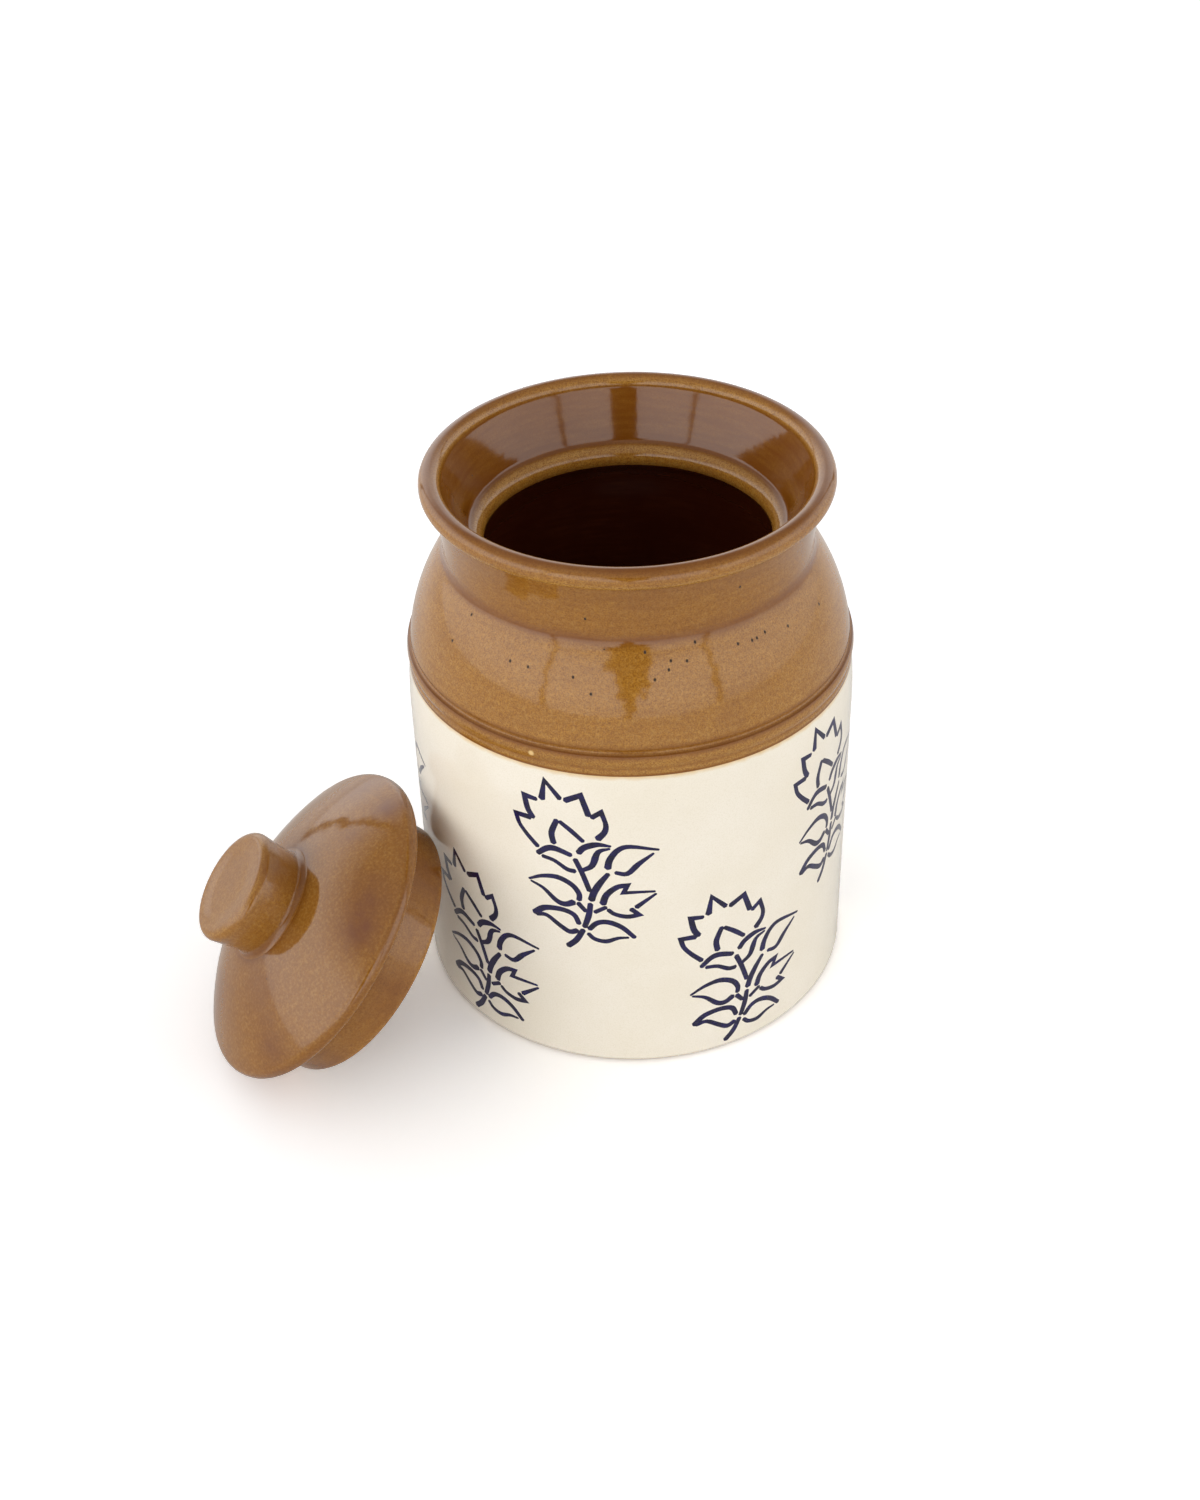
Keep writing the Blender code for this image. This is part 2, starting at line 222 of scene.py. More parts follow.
# Sprigs: their height, and the turn in degrees and the height of each foot
SPRIG_HEIGHT = 54.1 * MM
UPPER_FOOT_HEIGHT = 41.2 * MM
LOWER_FOOT_HEIGHT = 2.9 * MM
UPPER_SPRIG_TURNS = (-180.4, -107.2, -33.5, 38.9, 110.7)
LOWER_SPRIG_TURNS = (-210.5, -138.7, -66.2, 5.9, 77.8)
# The wall is cut open for drawing at a turn that no sprig crosses
WALL_CUT_TURN = radians(135.5)
WALL_ROW_HEIGHT = 1.5 * MM

# Stroke widths as shares of the sprig's height: hair, fine, middle, bold, wide
STROKE_WIDTH_SHARES = {"h": 0.014, "f": 0.024, "m": 0.028, "b": 0.032, "w": 0.036}
# How far along a stroke its three widths lie
STROKE_STATION_SHARES = (0.0, 0.5, 1.0)

# Strokes of a sprig, in hundredths of its height from its foot: the widths at
# the stroke's start, middle and end, and smooth runs of points. A run starts at
# a corner, where the one before it ends.
SPRIG_STROKE_SHARES = (
    ("mfb", [(-13.3, 59.5), (-18.5, 65), (-22.5, 70.5), (-24, 76)], [(-16.5, 76)]),
    ("bbf", [(-15, 76.5), (-17.5, 81), (-19, 88.5)], [(-12.8, 87.8)]),
    ("wfm", [(-10, 89), (-8.5, 99.5)], [(-1, 91)]),
    ("bmb", [(1.5, 90.5), (9, 94.5)], [(12.5, 83.5)]),
    ("mfw", [(14, 82.5), (18.5, 86)], [(20.5, 79), (19.8, 74.3), (16.5, 70)]),
    ("bbm", [(-5, 63.8), (-5.8, 70), (-3, 78)]),
    ("fmf", [(-1.5, 77.5), (4, 73), (9.5, 67.6)]),
    ("mwm", [(-13.5, 55.3), (-8.5, 59.7), (-4, 60.5), (3.3, 58.2)]),
    ("ffm", [(-11, 54.2), (-5, 53), (1, 49.2), (5, 48.6)]),
    ("bwh", [(7, 60.3), (10, 64), (16, 66.5), (22.5, 66)]),
    ("fwh", [(9, 50), (13.5, 53.5), (16.5, 62), (22, 64.5)]),
    ("mmm", [(5.3, 56), (8.5, 48), (11.8, 37.5)]),
    ("fww", [(21, 49), (17, 43), (14, 37), (12.5, 31.8)]),
    ("mbm", [(12, 29.3), (11, 22), (8.7, 14)]),
    ("mbb", [(8, 12), (4.5, 5), (0, 0)]),
    ("wmh", [(20.8, 52.5), (22, 58), (26, 64), (32, 66), (45, 63.5)]),
    ("fbh", [(24.5, 50), (30, 49.5), (35.5, 55.5), (42.5, 61.5)]),
    ("hbm", [(-19, 37.5), (-12, 41.5), (-4, 43), (3, 40), (6.5, 35), (6.5, 30.8)]),
    ("mmf", [(6, 28.8), (9.6, 24.2)]),
    ("hmw", [(-18, 36.5), (-11.5, 34), (-5, 28), (-0.5, 26.8), (3.8, 29)]),
    ("wbm", [(-17, 16.5), (-11.5, 21.5), (-3, 23), (3.5, 21), (6, 15.6)]),
    ("fmb", [(-16, 16), (-10.5, 17), (-4, 12.5), (1, 9.5), (5, 11)]),
    ("wmh", [(18, 30), (20, 36), (25, 41), (30, 42.3)], [(28, 37.5)], [(43, 38)]),
    ("hfm", [(43.5, 36.5), (34, 28.5)]),
    ("mmf", [(31.5, 27.3), (35.3, 23.7)], [(29.5, 22.5), (23.5, 24), (20.5, 26.5)]),
    ("fmf", [(14, 24.3), (19.5, 28)]),
    ("mbf", [(11, 13), (15, 17.5), (20.5, 18.5), (27, 15.5), (33, 9)]),
    ("fmh", [(10.5, 10), (13.5, 7), (19, 6), (25, 8.5), (30, 9)]),
)
HUNDREDTHS = 100.0
STROKE_STEPS = 4
# A corner's tip reaches at most this many half widths past its point
TIP_LIMIT_SHARE = 1.8
CAP_SHARE = 0.6
CAP_TURNS = (radians(45), 0.0, radians(-45))

GLAZE_IOR = 1.5


def linear(red, green, blue):
    """Linear colour of an 8-bit sRGB colour."""
    shares = [value / 255 for value in (red, green, blue)]
    lights = [share / 12.92 if share <= 0.04045 else ((share + 0.055) / 1.055) ** 2.4
              for share in shares]
    return (*lights, 1.0)


# Glaze and paint colours
WHITE = (1.0, 1.0, 1.0, 1.0)
AMBER = linear(172, 119, 44)
AMBER_GRAIN = linear(132, 85, 30)
AMBER_DEEP = linear(116, 64, 13)
AMBER_PALE = linear(196, 150, 78)
RUSSET = linear(116, 70, 44)
SPECK_BROWN = linear(30, 22, 14)
INSIDE_BROWN = linear(98, 46, 22)
INSIDE_DEEP = linear(84, 34, 14)
CREAM_LIGHT = linear(247, 239, 224)
CREAM_WARM = linear(243, 234, 216)
CREAM_STAINED = linear(226, 190, 126)
CREAM_GRAIN = linear(232, 222, 200)
CREAM_SPECK = linear(150, 140, 130)
INDIGO_DEEP = linear(15, 12, 46)
INDIGO_THIN = linear(28, 23, 80)
BISCUIT_LIGHT = linear(206, 190, 164)
BISCUIT_DARK = linear(168, 150, 126)

# Sizes of the marks in the finishes
GRAIN_SIZE = 0.36 * MM
FLECK_SIZE = 0.75 * MM
STREAK_SIZE = 1.1 * MM
STREAK_STRETCH_SHARES = (0.12, 0.12, 1.0)
BLOTCH_SIZE = 7.0 * MM
CLOUD_SIZE = 16.0 * MM
CREAM_CLOUD_SIZE = 24.0 * MM
PIN_SPACING = 7.0 * MM
PIN_SIZE = 0.28 * MM
PIN_KEPT_SHARE = 0.22
PIN_CORE_SHARE = 0.6
CREAM_PIN_SPACING = 9.0 * MM
CREAM_PIN_SIZE = 0.22 * MM
FRINGE_HEIGHT = 1.2 * MM
FRINGE_RAGGED_SIZE = 3.0 * MM
PAINT_SIZE = 2.5 * MM
GRIT_SIZE = 0.5 * MM
GRIT_DEPTH = 0.06 * MM
WAVE_SIZE = 30.0 * MM
WAVE_DEPTH = 0.25 * MM
RIPPLE_SIZE = 8.0 * MM
RIPPLE_DEPTH = 0.035 * MM
PEEL_SIZE = 2.0 * MM
PEEL_DEPTH = 0.018 * MM
WAVE_DETAIL = 1.0
FINE_DETAIL = 2.0
CLOUD_DETAIL = 3.0
GRIT_DETAIL = 4.0

# The brown glaze's grain, flecks, streaks, clouds and blotches: size, detail, stretch
BROWN_NOISES = (
    (GRAIN_SIZE,), (FLECK_SIZE,), (STREAK_SIZE, FINE_DETAIL, STREAK_STRETCH_SHARES),
    (CLOUD_SIZE, CLOUD_DETAIL), (BLOTCH_SIZE, CLOUD_DETAIL))

# Marks of the finishes: the shares of a noise between which a mark comes in,
# and then its strength at each of the two
NOISE_SHARES = (0.3, 0.7)
NOISE_MIDDLE_SHARE = 0.5
THIN_STREAK_SHARES = (0.85, 1.1)
PALE_SHARES = (0.0, 1.0, 0.0, 0.85)
DEEP_SHARES = (0.0, -1.0, 0.0, 0.95)
GRAIN_SHARES = (0.34, 0.62)
FLECK_SHARES = (0.45, 0.75)
FLECK_STRENGTH_SHARE = 0.35
STREAK_SHARES = (0.40, 0.75, 0.0, 0.24)
RUSSET_SHARES = (0.30, 0.62, 0.4, 1.0)
CLOUD_RUSSET_SHARES = (0.50, 0.75, 0.0, 0.20)
PIN_STRENGTH_SHARE = 0.95
MOTTLE_SHARES = (0.35, 0.65)
INSIDE_STREAK_SHARES = (0.35, 0.6, 0.0, 0.7)
CREAM_GRAIN_SHARES = (0.45, 0.75, 0.0, 0.6)
CREAM_PIN_STRENGTH_SHARE = 0.45
FRINGE_STRENGTH_SHARE = 0.8
COARSE_SHARES = (0.35, 0.70)
BARE_CLOUD_SHARES = (0.5, 0.8, 0.0, 0.4)
BROWN_ROUGHNESS = (0.06, 0.12)
SPECK_ROUGHNESS = 0.8
INSIDE_ROUGHNESS = (0.10, 0.18)
CREAM_ROUGHNESS = (0.06, 0.11)
BARE_ROUGHNESS = (0.7, 0.9)
# The brown finishes: shares of grain and of depth, and the seed of their noise
JAR_FINISH = (1.0, 0.0, 0.0)
LID_FINISH = (1.0, 0.5, 20.0)
COLLAR_FINISH = (0.9, 0.05, 30.0)
KNOB_FINISH = (0.9, 0.3, 40.0)

# Camera: its place, lens and turns, in the photograph's upright frame
CAMERA_PLACE = (0.0, -446.5 * MM, 400.0 * MM)
CAMERA_LENS = 48.0
CAMERA_SENSOR = 36.0
CAMERA_YAW = radians(-1.15)
CAMERA_PITCH = radians(37.1)
CAMERA_ROLL = radians(-1.75)
CAMERA_NEAR = 20.0 * MM
CAMERA_FAR = 20.0

# Studio: a white sheet, and a round of white panels with dark seams between
FLOOR_REACH = 3.0
FLOOR_COLOUR = (0.90, 0.89, 0.88, 1.0)
# The camera sees the sheet this much brighter, so that it is white outside its shadows
FLOOR_SEEN_COLOUR = (1.44, 1.43, 1.43, 1.0)
# The glaze mirrors the sheet darker close to the jar than far off: painted shade round the jar, seen in
# reflections only
FLOOR_NEAR_SHADE_COLOUR = (0.76, 0.75, 0.74, 1.0)
FLOOR_FAR_COLOUR = (1.15, 1.13, 1.11, 1.0)
FLOOR_NEAR_REACH = (0.17, 0.42)
PANEL_LEFT_STRENGTH = 2.3
PANEL_RIGHT_STRENGTH = 1.85
CEILING_SHARE = 0.25
PANEL_TOP = (radians(26), radians(42))
PANEL_FOOT = (0.0, radians(9))
PANEL_FOOT_SHARE = 0.8
BACK_TURNS = (radians(80), radians(135))
BACK_SHARE = 0.75
SEAM_TURNS = (radians(43.5), radians(142))
SEAM_REACH = radians(0.9)
SEAM_SOFTNESS = radians(1.2)
SEAM_TOP = (radians(36), radians(46))
SEAM_DARKNESS_SHARE = 0.8
LENS_GAP = (radians(0.5), radians(11.5))
LENS_GAP_RISE = radians(28)
LENS_GAP_TOP = (radians(36), radians(43))
LENS_GAP_ROUGHNESS = radians(20)
SEAM_WANDER = radians(10)
SEAM_NOISE_SCALE = 8.0


def arc(centre, radius, start, end):
    """Points of a profile arc, angles in radians from the outward direction."""
    steps = max(ARC_LEAST_STEPS, ceil(abs(end - start) * radius / PROFILE_STEP))
    return [(centre[0] + radius * cos(start + (end - start) * step / steps),
             centre[1] + radius * sin(start + (end - start) * step / steps))
            for step in range(steps + 1)]


def wave(start, end, rise):
    """A line from start to end, pushed sideways by half a sine wave."""
    run = Vector(end) - Vector(start)
    side = Vector((run.y, -run.x)).normalized()
    steps = max(WAVE_LEAST_STEPS, ceil(run.length / PROFILE_STEP))
    points = []
    for step in range(steps + 1):
        share = step / steps
        point = Vector(start) + run * share + side * rise * sin(pi * share)
        points.append((point.x, point.y))
    return points


def corner(before, point, after, radius):
    """A profile corner rounded with a fillet."""
    middle = Vector(point)
    back = (Vector(before) - middle).normalized()
    ahead = (Vector(after) - middle).normalized()
    half = back.angle(ahead) / 2
    reach = radius / tan(half)
    centre = middle + (back + ahead).normalized() * radius / sin(half)
    first = middle + back * reach - centre
    turn = first.angle_signed(middle + ahead * reach - centre)
    steps = max(CORNER_LEAST_STEPS, ceil(abs(turn) * radius / PROFILE_STEP))
    points = []
    for step in range(steps + 1):
        spoke = Matrix.Rotation(-turn * step / steps, 2) @ first
        points.append((centre.x + spoke.x, centre.y + spoke.y))
    return points


def spaced(profile, step):
    """The profile with points added so that none are further apart than step."""
    points = [profile[0]]
    for here, there in zip(profile, profile[1:]):
        gap = dist(here, there)
        parts = max(1, ceil(gap / step))
        for part in range(1, parts + 1):
            share = part / parts
            points.append((here[0] + (there[0] - here[0]) * share,
                           here[1] + (there[1] - here[1]) * share))
    return points


def glaze_thinness(profile, marks):
    """How thin the glaze is along a profile, from 1 on a pale edge to -1 in a
    dark pool, with painted highlights and painted shade among the marks. A mark is
    (place, reach, strength) or (start, end, reach, strength)."""
    points = np.array(profile)
    values = np.zeros(len(points))
    for start, *end, reach, strength in marks:
        run = np.array(end[0] if end else start) - np.array(start)
        along = np.clip((points - start) @ run / max(run @ run, WELD ** 2), 0.0, 1.0)
        gaps = np.linalg.norm(points - start - along[:, None] * run, axis=1)
        values += strength * np.exp(-(gaps / reach) ** 2)
    return np.clip(values, -1.0, 1.0)


def on_round(centre, radius, turn):
    """The point of a rounding at a turn in degrees from the outward direction."""
    return (centre[0] + radius * cos(radians(turn)), centre[1] + radius * sin(radians(turn)))


def shoulder_and_neck_marks():
    """Glaze marks of the brown upper half, among them painted highlights and painted shade."""
    bead = (SEAM_RADIUS + BEAD_PROUD, (BEAD_FOOT[1] + BEAD_TOP[1]) / 2)
    groove_top = (SHOULDER_RADIUS, GROOVE_TOP_HEIGHT)
    foot_roll = (SEAM_RADIUS, (SEAM_HEIGHT + BEAD_FOOT[1]) / 2)
    neck_top = (NECK_TOP_RADIUS, JAR_HEIGHT - 2 * LIP_ROUND)
    outer, top, inner, under = (on_round(*LIP, turn) for turn in LIP_TURNS)
    # The lip's pale edges and darker top are partly thin and pooled glaze, partly painted highlights and
    # painted shade
    return [(outer, LINE_REACH, STRONG_SHARE),
            (top, RIM_REACH, -STRONG_SHARE),
            (inner, LINE_REACH, CLEAR_SHARE),
            # The pale bead and the pale edge above the groove are partly painted highlights, and the
            # groove's dark band is partly painted shade
            (bead, LINE_REACH, FAINT_SHARE),
            (BEAD_TOP, groove_top, LINE_REACH, -STRONG_SHARE),
            ((SHOULDER_RADIUS, GROOVE_TOP_HEIGHT + GROOVE_HEIGHT), LINE_REACH, FAINT_SHARE),
            ((SEAM_RADIUS, SEAM_HEIGHT), HAIR_REACH, -STRONG_SHARE),
            (foot_roll, HAIR_REACH, CLEAR_SHARE),
            (BEAD_FOOT, HAIR_REACH, -FAINT_SHARE),
            (CREASE, POOL_REACH, -CLEAR_SHARE),
            (CREASE, neck_top, EDGE_REACH, -FAINT_SHARE),
            # The neck's inside, darker down to the ledge and on it, is partly pooled glaze and partly
            # painted shade in the mouth; the rib's pale crest is partly a painted highlight
            (under, LEDGE, EDGE_REACH, -STRONG_SHARE),
            (LEDGE, POOL_REACH, -FAINT_SHARE),
            (on_round(RIB_CENTRE, RIB_ROUND, RIB_CREST_TURN), LINE_REACH, CLEAR_SHARE)]


def dome_marks():
    """Glaze marks of the lid's disc, among them a painted highlight and painted shade."""
    knob_foot = KNOB_WAIST_RADIUS + KNOB_FOOT_FILLET / 2
    # The pale line on the edge's upper rounding is partly a painted highlight, and the darker band outside
    # it is partly a painted dark reflection
    return [(on_round(*DISC_UPPER, DISC_UPPER_TURN), HAIR_REACH, FAINT_SHARE),
            (on_round(*DISC_UPPER, 0), RIM_REACH, -FAINT_SHARE),
            (on_round(*DISC_LOWER, DISC_LOWER_TURN), LINE_REACH, CLEAR_SHARE),
            # The dark ring at the knob's foot is partly pooled glaze and partly painted shade in the
            # groove
            ((knob_foot, dome_height(knob_foot)), POOL_REACH, -STRONG_SHARE)]


def collar_marks():
    """Glaze marks of the collar: pale on its rim, where the glaze runs thin, and darker under the disc,
    partly pooled glaze and partly painted shade.
    """
    rim = (COLLAR_RADIUS - COLLAR_EDGE_ROUND, COLLAR_EDGE_ROUND - COLLAR_DEPTH)
    top = (COLLAR_RADIUS + COLLAR_FLARE, 0.0)
    low = (COLLAR_RADIUS, -COLLAR_DEPTH)
    return [(on_round(rim, COLLAR_EDGE_ROUND, COLLAR_RIM_TURN), LINE_REACH, CLEAR_SHARE),
            # Darker down the collar under the disc: partly pooled glaze, partly painted shade
            (top, low, EDGE_REACH, -FAINT_SHARE)]


def knob_marks():
    """Glaze marks of the knob: pale round the rim of its dish."""
    top = dome_height(KNOB_WAIST_RADIUS + KNOB_FOOT_FILLET + KNOB_SEAT_MARGIN) + JOINT_GAP + KNOB_HEIGHT
    edge = (KNOB_RADIUS - KNOB_EDGE_ROUND, top - KNOB_EDGE_ROUND)
    foot = (KNOB_WAIST_RADIUS, dome_height(KNOB_WAIST_RADIUS))
    return [(on_round(edge, KNOB_EDGE_ROUND, KNOB_RIM_TURN), HAIR_REACH, CLEAR_SHARE),
            # The dark ring at the knob's foot is partly pooled glaze and partly painted shade in the
            # groove
            (foot, POOL_REACH, -STRONG_SHARE)]


def pot_wall_radius(height):
    """Outer radius of the pot's wall, which draws in below the seam."""
    share = (height - SEAM_HEIGHT + WALL_DRAW_IN_HEIGHT) / WALL_DRAW_IN_HEIGHT
    return BODY_RADIUS - WALL_DRAW_IN * max(0.0, share) ** 2


def pot_rest_profile():
    """The pot's surface from the seam down its inside, and from the middle of
    the base out to the foot of the wall."""
    inside = SHOULDER_RADIUS - WALL
    hollow = (inside - FLOOR_FILLET, BASE_THICKNESS + FLOOR_FILLET)
    edge = (BODY_RADIUS - BASE_EDGE_ROUND, BASE_EDGE_ROUND)
    inner = [(SEAM_RADIUS, SEAM_HEIGHT), (inside, SEAM_HEIGHT)]
    inner += arc(hollow, FLOOR_FILLET, 0.0, -pi / 2)
    inner += [(0.0, BASE_THICKNESS)]
    outer = [(0.0, 0.0)] + arc(edge, BASE_EDGE_ROUND, -pi / 2, 0.0)
    return spaced(inner, HIDDEN_STEP), spaced(outer, HIDDEN_STEP)


def shoulder_and_neck_profile():
    """Closed profile of the brown upper half, starting at the lap's lower edge."""
    bottom = SEAM_HEIGHT
    centre = (SHOULDER_RADIUS - SHOULDER_ROUND, SEAM_HEIGHT + JOINT_GAP / 2)
    rise_of_crease = sqrt(SHOULDER_ROUND ** 2 - (SHOULDER_ROUND - SHOULDER_WIDTH) ** 2)
    crease_angle = asin(rise_of_crease / SHOULDER_ROUND)
    groove_angle = asin((GROOVE_TOP_HEIGHT - centre[1]) / SHOULDER_ROUND)
    groove_top = (centre[0] + SHOULDER_ROUND * cos(groove_angle), GROOVE_TOP_HEIGHT)

    lap = (SEAM_RADIUS, bottom - LAP_HEIGHT)
    outside = [lap, (lap[0] + LAP_PROUD, lap[1] + LAP_PROUD), (lap[0] + LAP_PROUD, bottom)]
    outside += wave((SEAM_RADIUS, bottom), BEAD_FOOT, FOOT_ROLL_PROUD)[1:]
    outside += wave(BEAD_FOOT, BEAD_TOP, BEAD_PROUD)[1:]
    outside += wave(BEAD_TOP, groove_top, -GROOVE_DEPTH)[1:]
    shoulder = arc(centre, SHOULDER_ROUND, groove_angle, crease_angle)
    neck = wave(CREASE, (NECK_TOP_RADIUS, LIP_CENTRE[1] - LIP_ROUND), -NECK_HOLLOW)
    fillet = corner(shoulder[-1 - CREASE_POINTS], CREASE, neck[CREASE_POINTS], CREASE_FILLET)
    outside += [point for point in shoulder[1:] if point[1] < fillet[0][1]]
    outside += fillet
    outside += [point for point in neck if point[1] > fillet[-1][1]]
    lip_start = -acos((NECK_TOP_RADIUS - LIP_CENTRE[0]) / LIP_ROUND)
    outside += arc(*LIP, lip_start, pi)[1:]

    rib_start = acos((LEDGE_RADIUS - RIB_CENTRE[0]) / RIB_ROUND) + RIB_LEAD
    rib = arc(RIB_CENTRE, RIB_ROUND, rib_start, pi + RIB_CURL)
    inside = corner(outside[-1], LEDGE, rib[0], LEDGE_FILLET) + rib
    inner_round = SHOULDER_ROUND - WALL
    inner_angle = acos((RIB_CENTRE[0] + RIB_ROUND - centre[0]) / inner_round)
    inside += arc(centre, inner_round, inner_angle, 0.0)
    inside += [(SHOULDER_RADIUS - WALL, bottom), (SEAM_RADIUS, bottom)]
    return spaced(outside + inside[1:] + [lap], PROFILE_STEP)


def dome_middle():
    """Height of the centre of the dome, which runs smoothly into the edge."""
    edge_radius, edge_height = DISC_UPPER_CENTRE
    return edge_height - sqrt((DOME_ROUND - LID_EDGE_UPPER_ROUND) ** 2 - edge_radius ** 2)


def dome_height(radius):
    """Height of the dome's surface at a radius."""
    return dome_middle() + sqrt(DOME_ROUND ** 2 - radius ** 2)


def dome_profile():
    """The lid's disc: flat under its edge, domed above, hollow below."""
    centre = (0.0, dome_middle())
    start = acos(DISC_UPPER_CENTRE[0] / (DOME_ROUND - LID_EDGE_UPPER_ROUND))
    end = acos(KNOB_WAIST_RADIUS / DOME_ROUND)
    inner_round = DOME_ROUND - DOME_WALL
    hollow_radius = COLLAR_RADIUS + COLLAR_FLARE - COLLAR_WALL
    ceiling = arc(centre, inner_round, pi / 2, acos(hollow_radius / inner_round))
    points = ceiling + [(hollow_radius, 0.0)]
    points += arc(*DISC_LOWER, -pi / 2, 0.0)
    points += arc(*DISC_UPPER, 0.0, start)
    points += arc(centre, DOME_ROUND, start, end)[1:]
    points += [(0.0, points[-1][1])]
    return spaced([(0.0, ceiling[0][1])] + points[1:], PROFILE_STEP)


def collar_profile():
    """The collar: an upright ring, filleted into the disc, with a round rim."""
    outside = COLLAR_RADIUS - COLLAR_EDGE_ROUND
    inside = COLLAR_RADIUS + COLLAR_FLARE - COLLAR_WALL
    height = COLLAR_EDGE_ROUND - COLLAR_DEPTH
    foot = (COLLAR_RADIUS + COLLAR_FLARE, 0.0)
    points = [(inside, 0.0)]
    points += arc((inside + COLLAR_EDGE_ROUND, height), COLLAR_EDGE_ROUND, pi, 1.5 * pi)
    points += arc((outside, height), COLLAR_EDGE_ROUND, -pi / 2, 0.0)
    points += corner(points[-1], foot, (LID_RADIUS, 0.0), COLLAR_FILLET)
    points += [(inside, 0.0)]
    return spaced(points, PROFILE_STEP)


def knob_profile():
    """The knob: its foot flows out of the dome, and its top is a shallow dish."""
    seat = dome_height(KNOB_WAIST_RADIUS)
    reach = KNOB_WAIST_RADIUS + KNOB_FOOT_FILLET
    fillet_centre = (reach, dome_middle() + sqrt((DOME_ROUND + KNOB_FOOT_FILLET) ** 2 - reach ** 2))
    slope = asin(reach / (DOME_ROUND + KNOB_FOOT_FILLET))
    cad_seat = dome_height(reach + KNOB_SEAT_MARGIN)
    top = cad_seat + JOINT_GAP + KNOB_HEIGHT
    edge_centre = (KNOB_RADIUS - KNOB_EDGE_ROUND, top - KNOB_EDGE_ROUND)
    rim = (edge_centre[0], top)
    dish = (KNOB_DISH_RADIUS - KNOB_DISH_ROUND, top - KNOB_DISH_DEPTH)
    points = [(0.0, seat), (KNOB_WAIST_RADIUS, seat)]
    points += arc(fillet_centre, KNOB_FOOT_FILLET, 1.5 * pi - slope, pi)
    points += arc(edge_centre, KNOB_EDGE_ROUND, 0.0, pi / 2)
    for step in range(1, KNOB_DISH_STEPS + 1):
        share = step / KNOB_DISH_STEPS
        ease = share * share * (3 - 2 * share)
        points.append((rim[0] + (dish[0] - rim[0]) * share, rim[1] + (dish[1] - rim[1]) * ease))
    points += [(0.0, dish[1])]
    return spaced(points, PROFILE_STEP)


def turned_shape(profile, segments, start=0.0):
    """Vertices and faces of a profile turned round Z. A point on the axis is
    one vertex, with a fan of triangles."""
    verts = []
    rings = []
    for radius, height in profile:
        if radius < WELD:
            rings.append([len(verts)] * segments)
            verts.append((0.0, 0.0, height))
            continue
        rings.append(list(range(len(verts), len(verts) + segments)))
        for step in range(segments):
            turn = start + tau * step / segments
            verts.append((radius * cos(turn), radius * sin(turn), height))
    faces = []
    for low, high in zip(rings, rings[1:]):
        for step in range(segments):
            after = (step + 1) % segments
            face = [low[step], low[after], high[after], high[step]]
            faces.append(tuple(dict.fromkeys(face)))
    return verts, faces, rings


def add_object(name, data):
    """A new object of the scene."""
    made = bpy.data.objects.new(name, data)
    bpy.context.scene.collection.objects.link(made)
    return made


def add_piece(name, verts, faces, materials, slots=None, place=None, **marks):
    """A smooth mesh object with its materials and its vertex marks. Its finishes
    follow own_place, where a vertex lies in the frame of the piece's own axis."""
    mesh = bpy.data.meshes.new(name)
    own = np.array(verts)
    mesh.from_pydata([tuple(vert) for vert in own], [], faces)
    mesh.attributes.new("own_place", "FLOAT_VECTOR", "POINT").data.foreach_set("vector", own.ravel())
    if place is not None:
        mesh.transform(place)
    for material in materials:
        mesh.materials.append(material)
    if slots is not None:
        mesh.polygons.foreach_set("material_index", np.array(slots, dtype=np.int32))
    for mark, values in marks.items():
        attribute = mesh.attributes.new(mark, "FLOAT", "POINT")
        attribute.data.foreach_set("value", np.array(values, dtype=np.float32))
    mesh.shade_smooth()
    mesh.set_sharp_from_angle(angle=SHARP_ANGLE)
    return add_object(name, mesh)


def turned_piece(name, profile, marks, segments, materials, pick=None, place=None, blotches=()):
    """A closed solid turned from a profile. pick gives each run's material."""
    closed = dist(profile[0], profile[-1]) < WELD
    thin = glaze_thinness(profile, marks)
    verts, faces, rings = turned_shape(profile, segments)
    if closed:
        last = len(verts) - segments
        verts = verts[:last]
        faces = [tuple(index % last for index in face) for face in faces]
    thinness = np.zeros(len(verts))
    for ring, value in zip(rings[:-1] if closed else rings, thin):
        thinness[ring] = value
    spots = np.array(verts)[:, :2]
    russet = np.zeros(len(verts))
    for across, along, reach, strength in blotches:
        gaps = np.hypot(spots[:, 0] - across * MM, spots[:, 1] - along * MM)
        russet += strength * np.exp(-(gaps / (reach * MM)) ** 2)
    slots = None
    if pick is not None:
        slots = np.repeat([pick(here, there) for here, there in zip(profile, profile[1:])], segments)
    return add_piece(name, verts, faces, materials, slots, place, glaze_thinness=thinness, russet=russet)


def smooth_run(points):
    """Points along a smooth curve through the run's own points."""
    if len(points) == 2:
        return points
    marks = [2 * points[0] - points[1], *points, 2 * points[-1] - points[-2]]
    curve = []
    for before, here, there, after in zip(marks, marks[1:], marks[2:], marks[3:]):
        for step in range(STROKE_STEPS):
            share = step / STROKE_STEPS
            lead = (there - before) / 2
            tail = (after - here) / 2
            curve.append(here * (1 + share * share * (2 * share - 3))
                         + there * share * share * (3 - 2 * share)
                         + lead * share * (1 - share) ** 2
                         - tail * share * share * (1 - share))
    return curve + [marks[-2]]


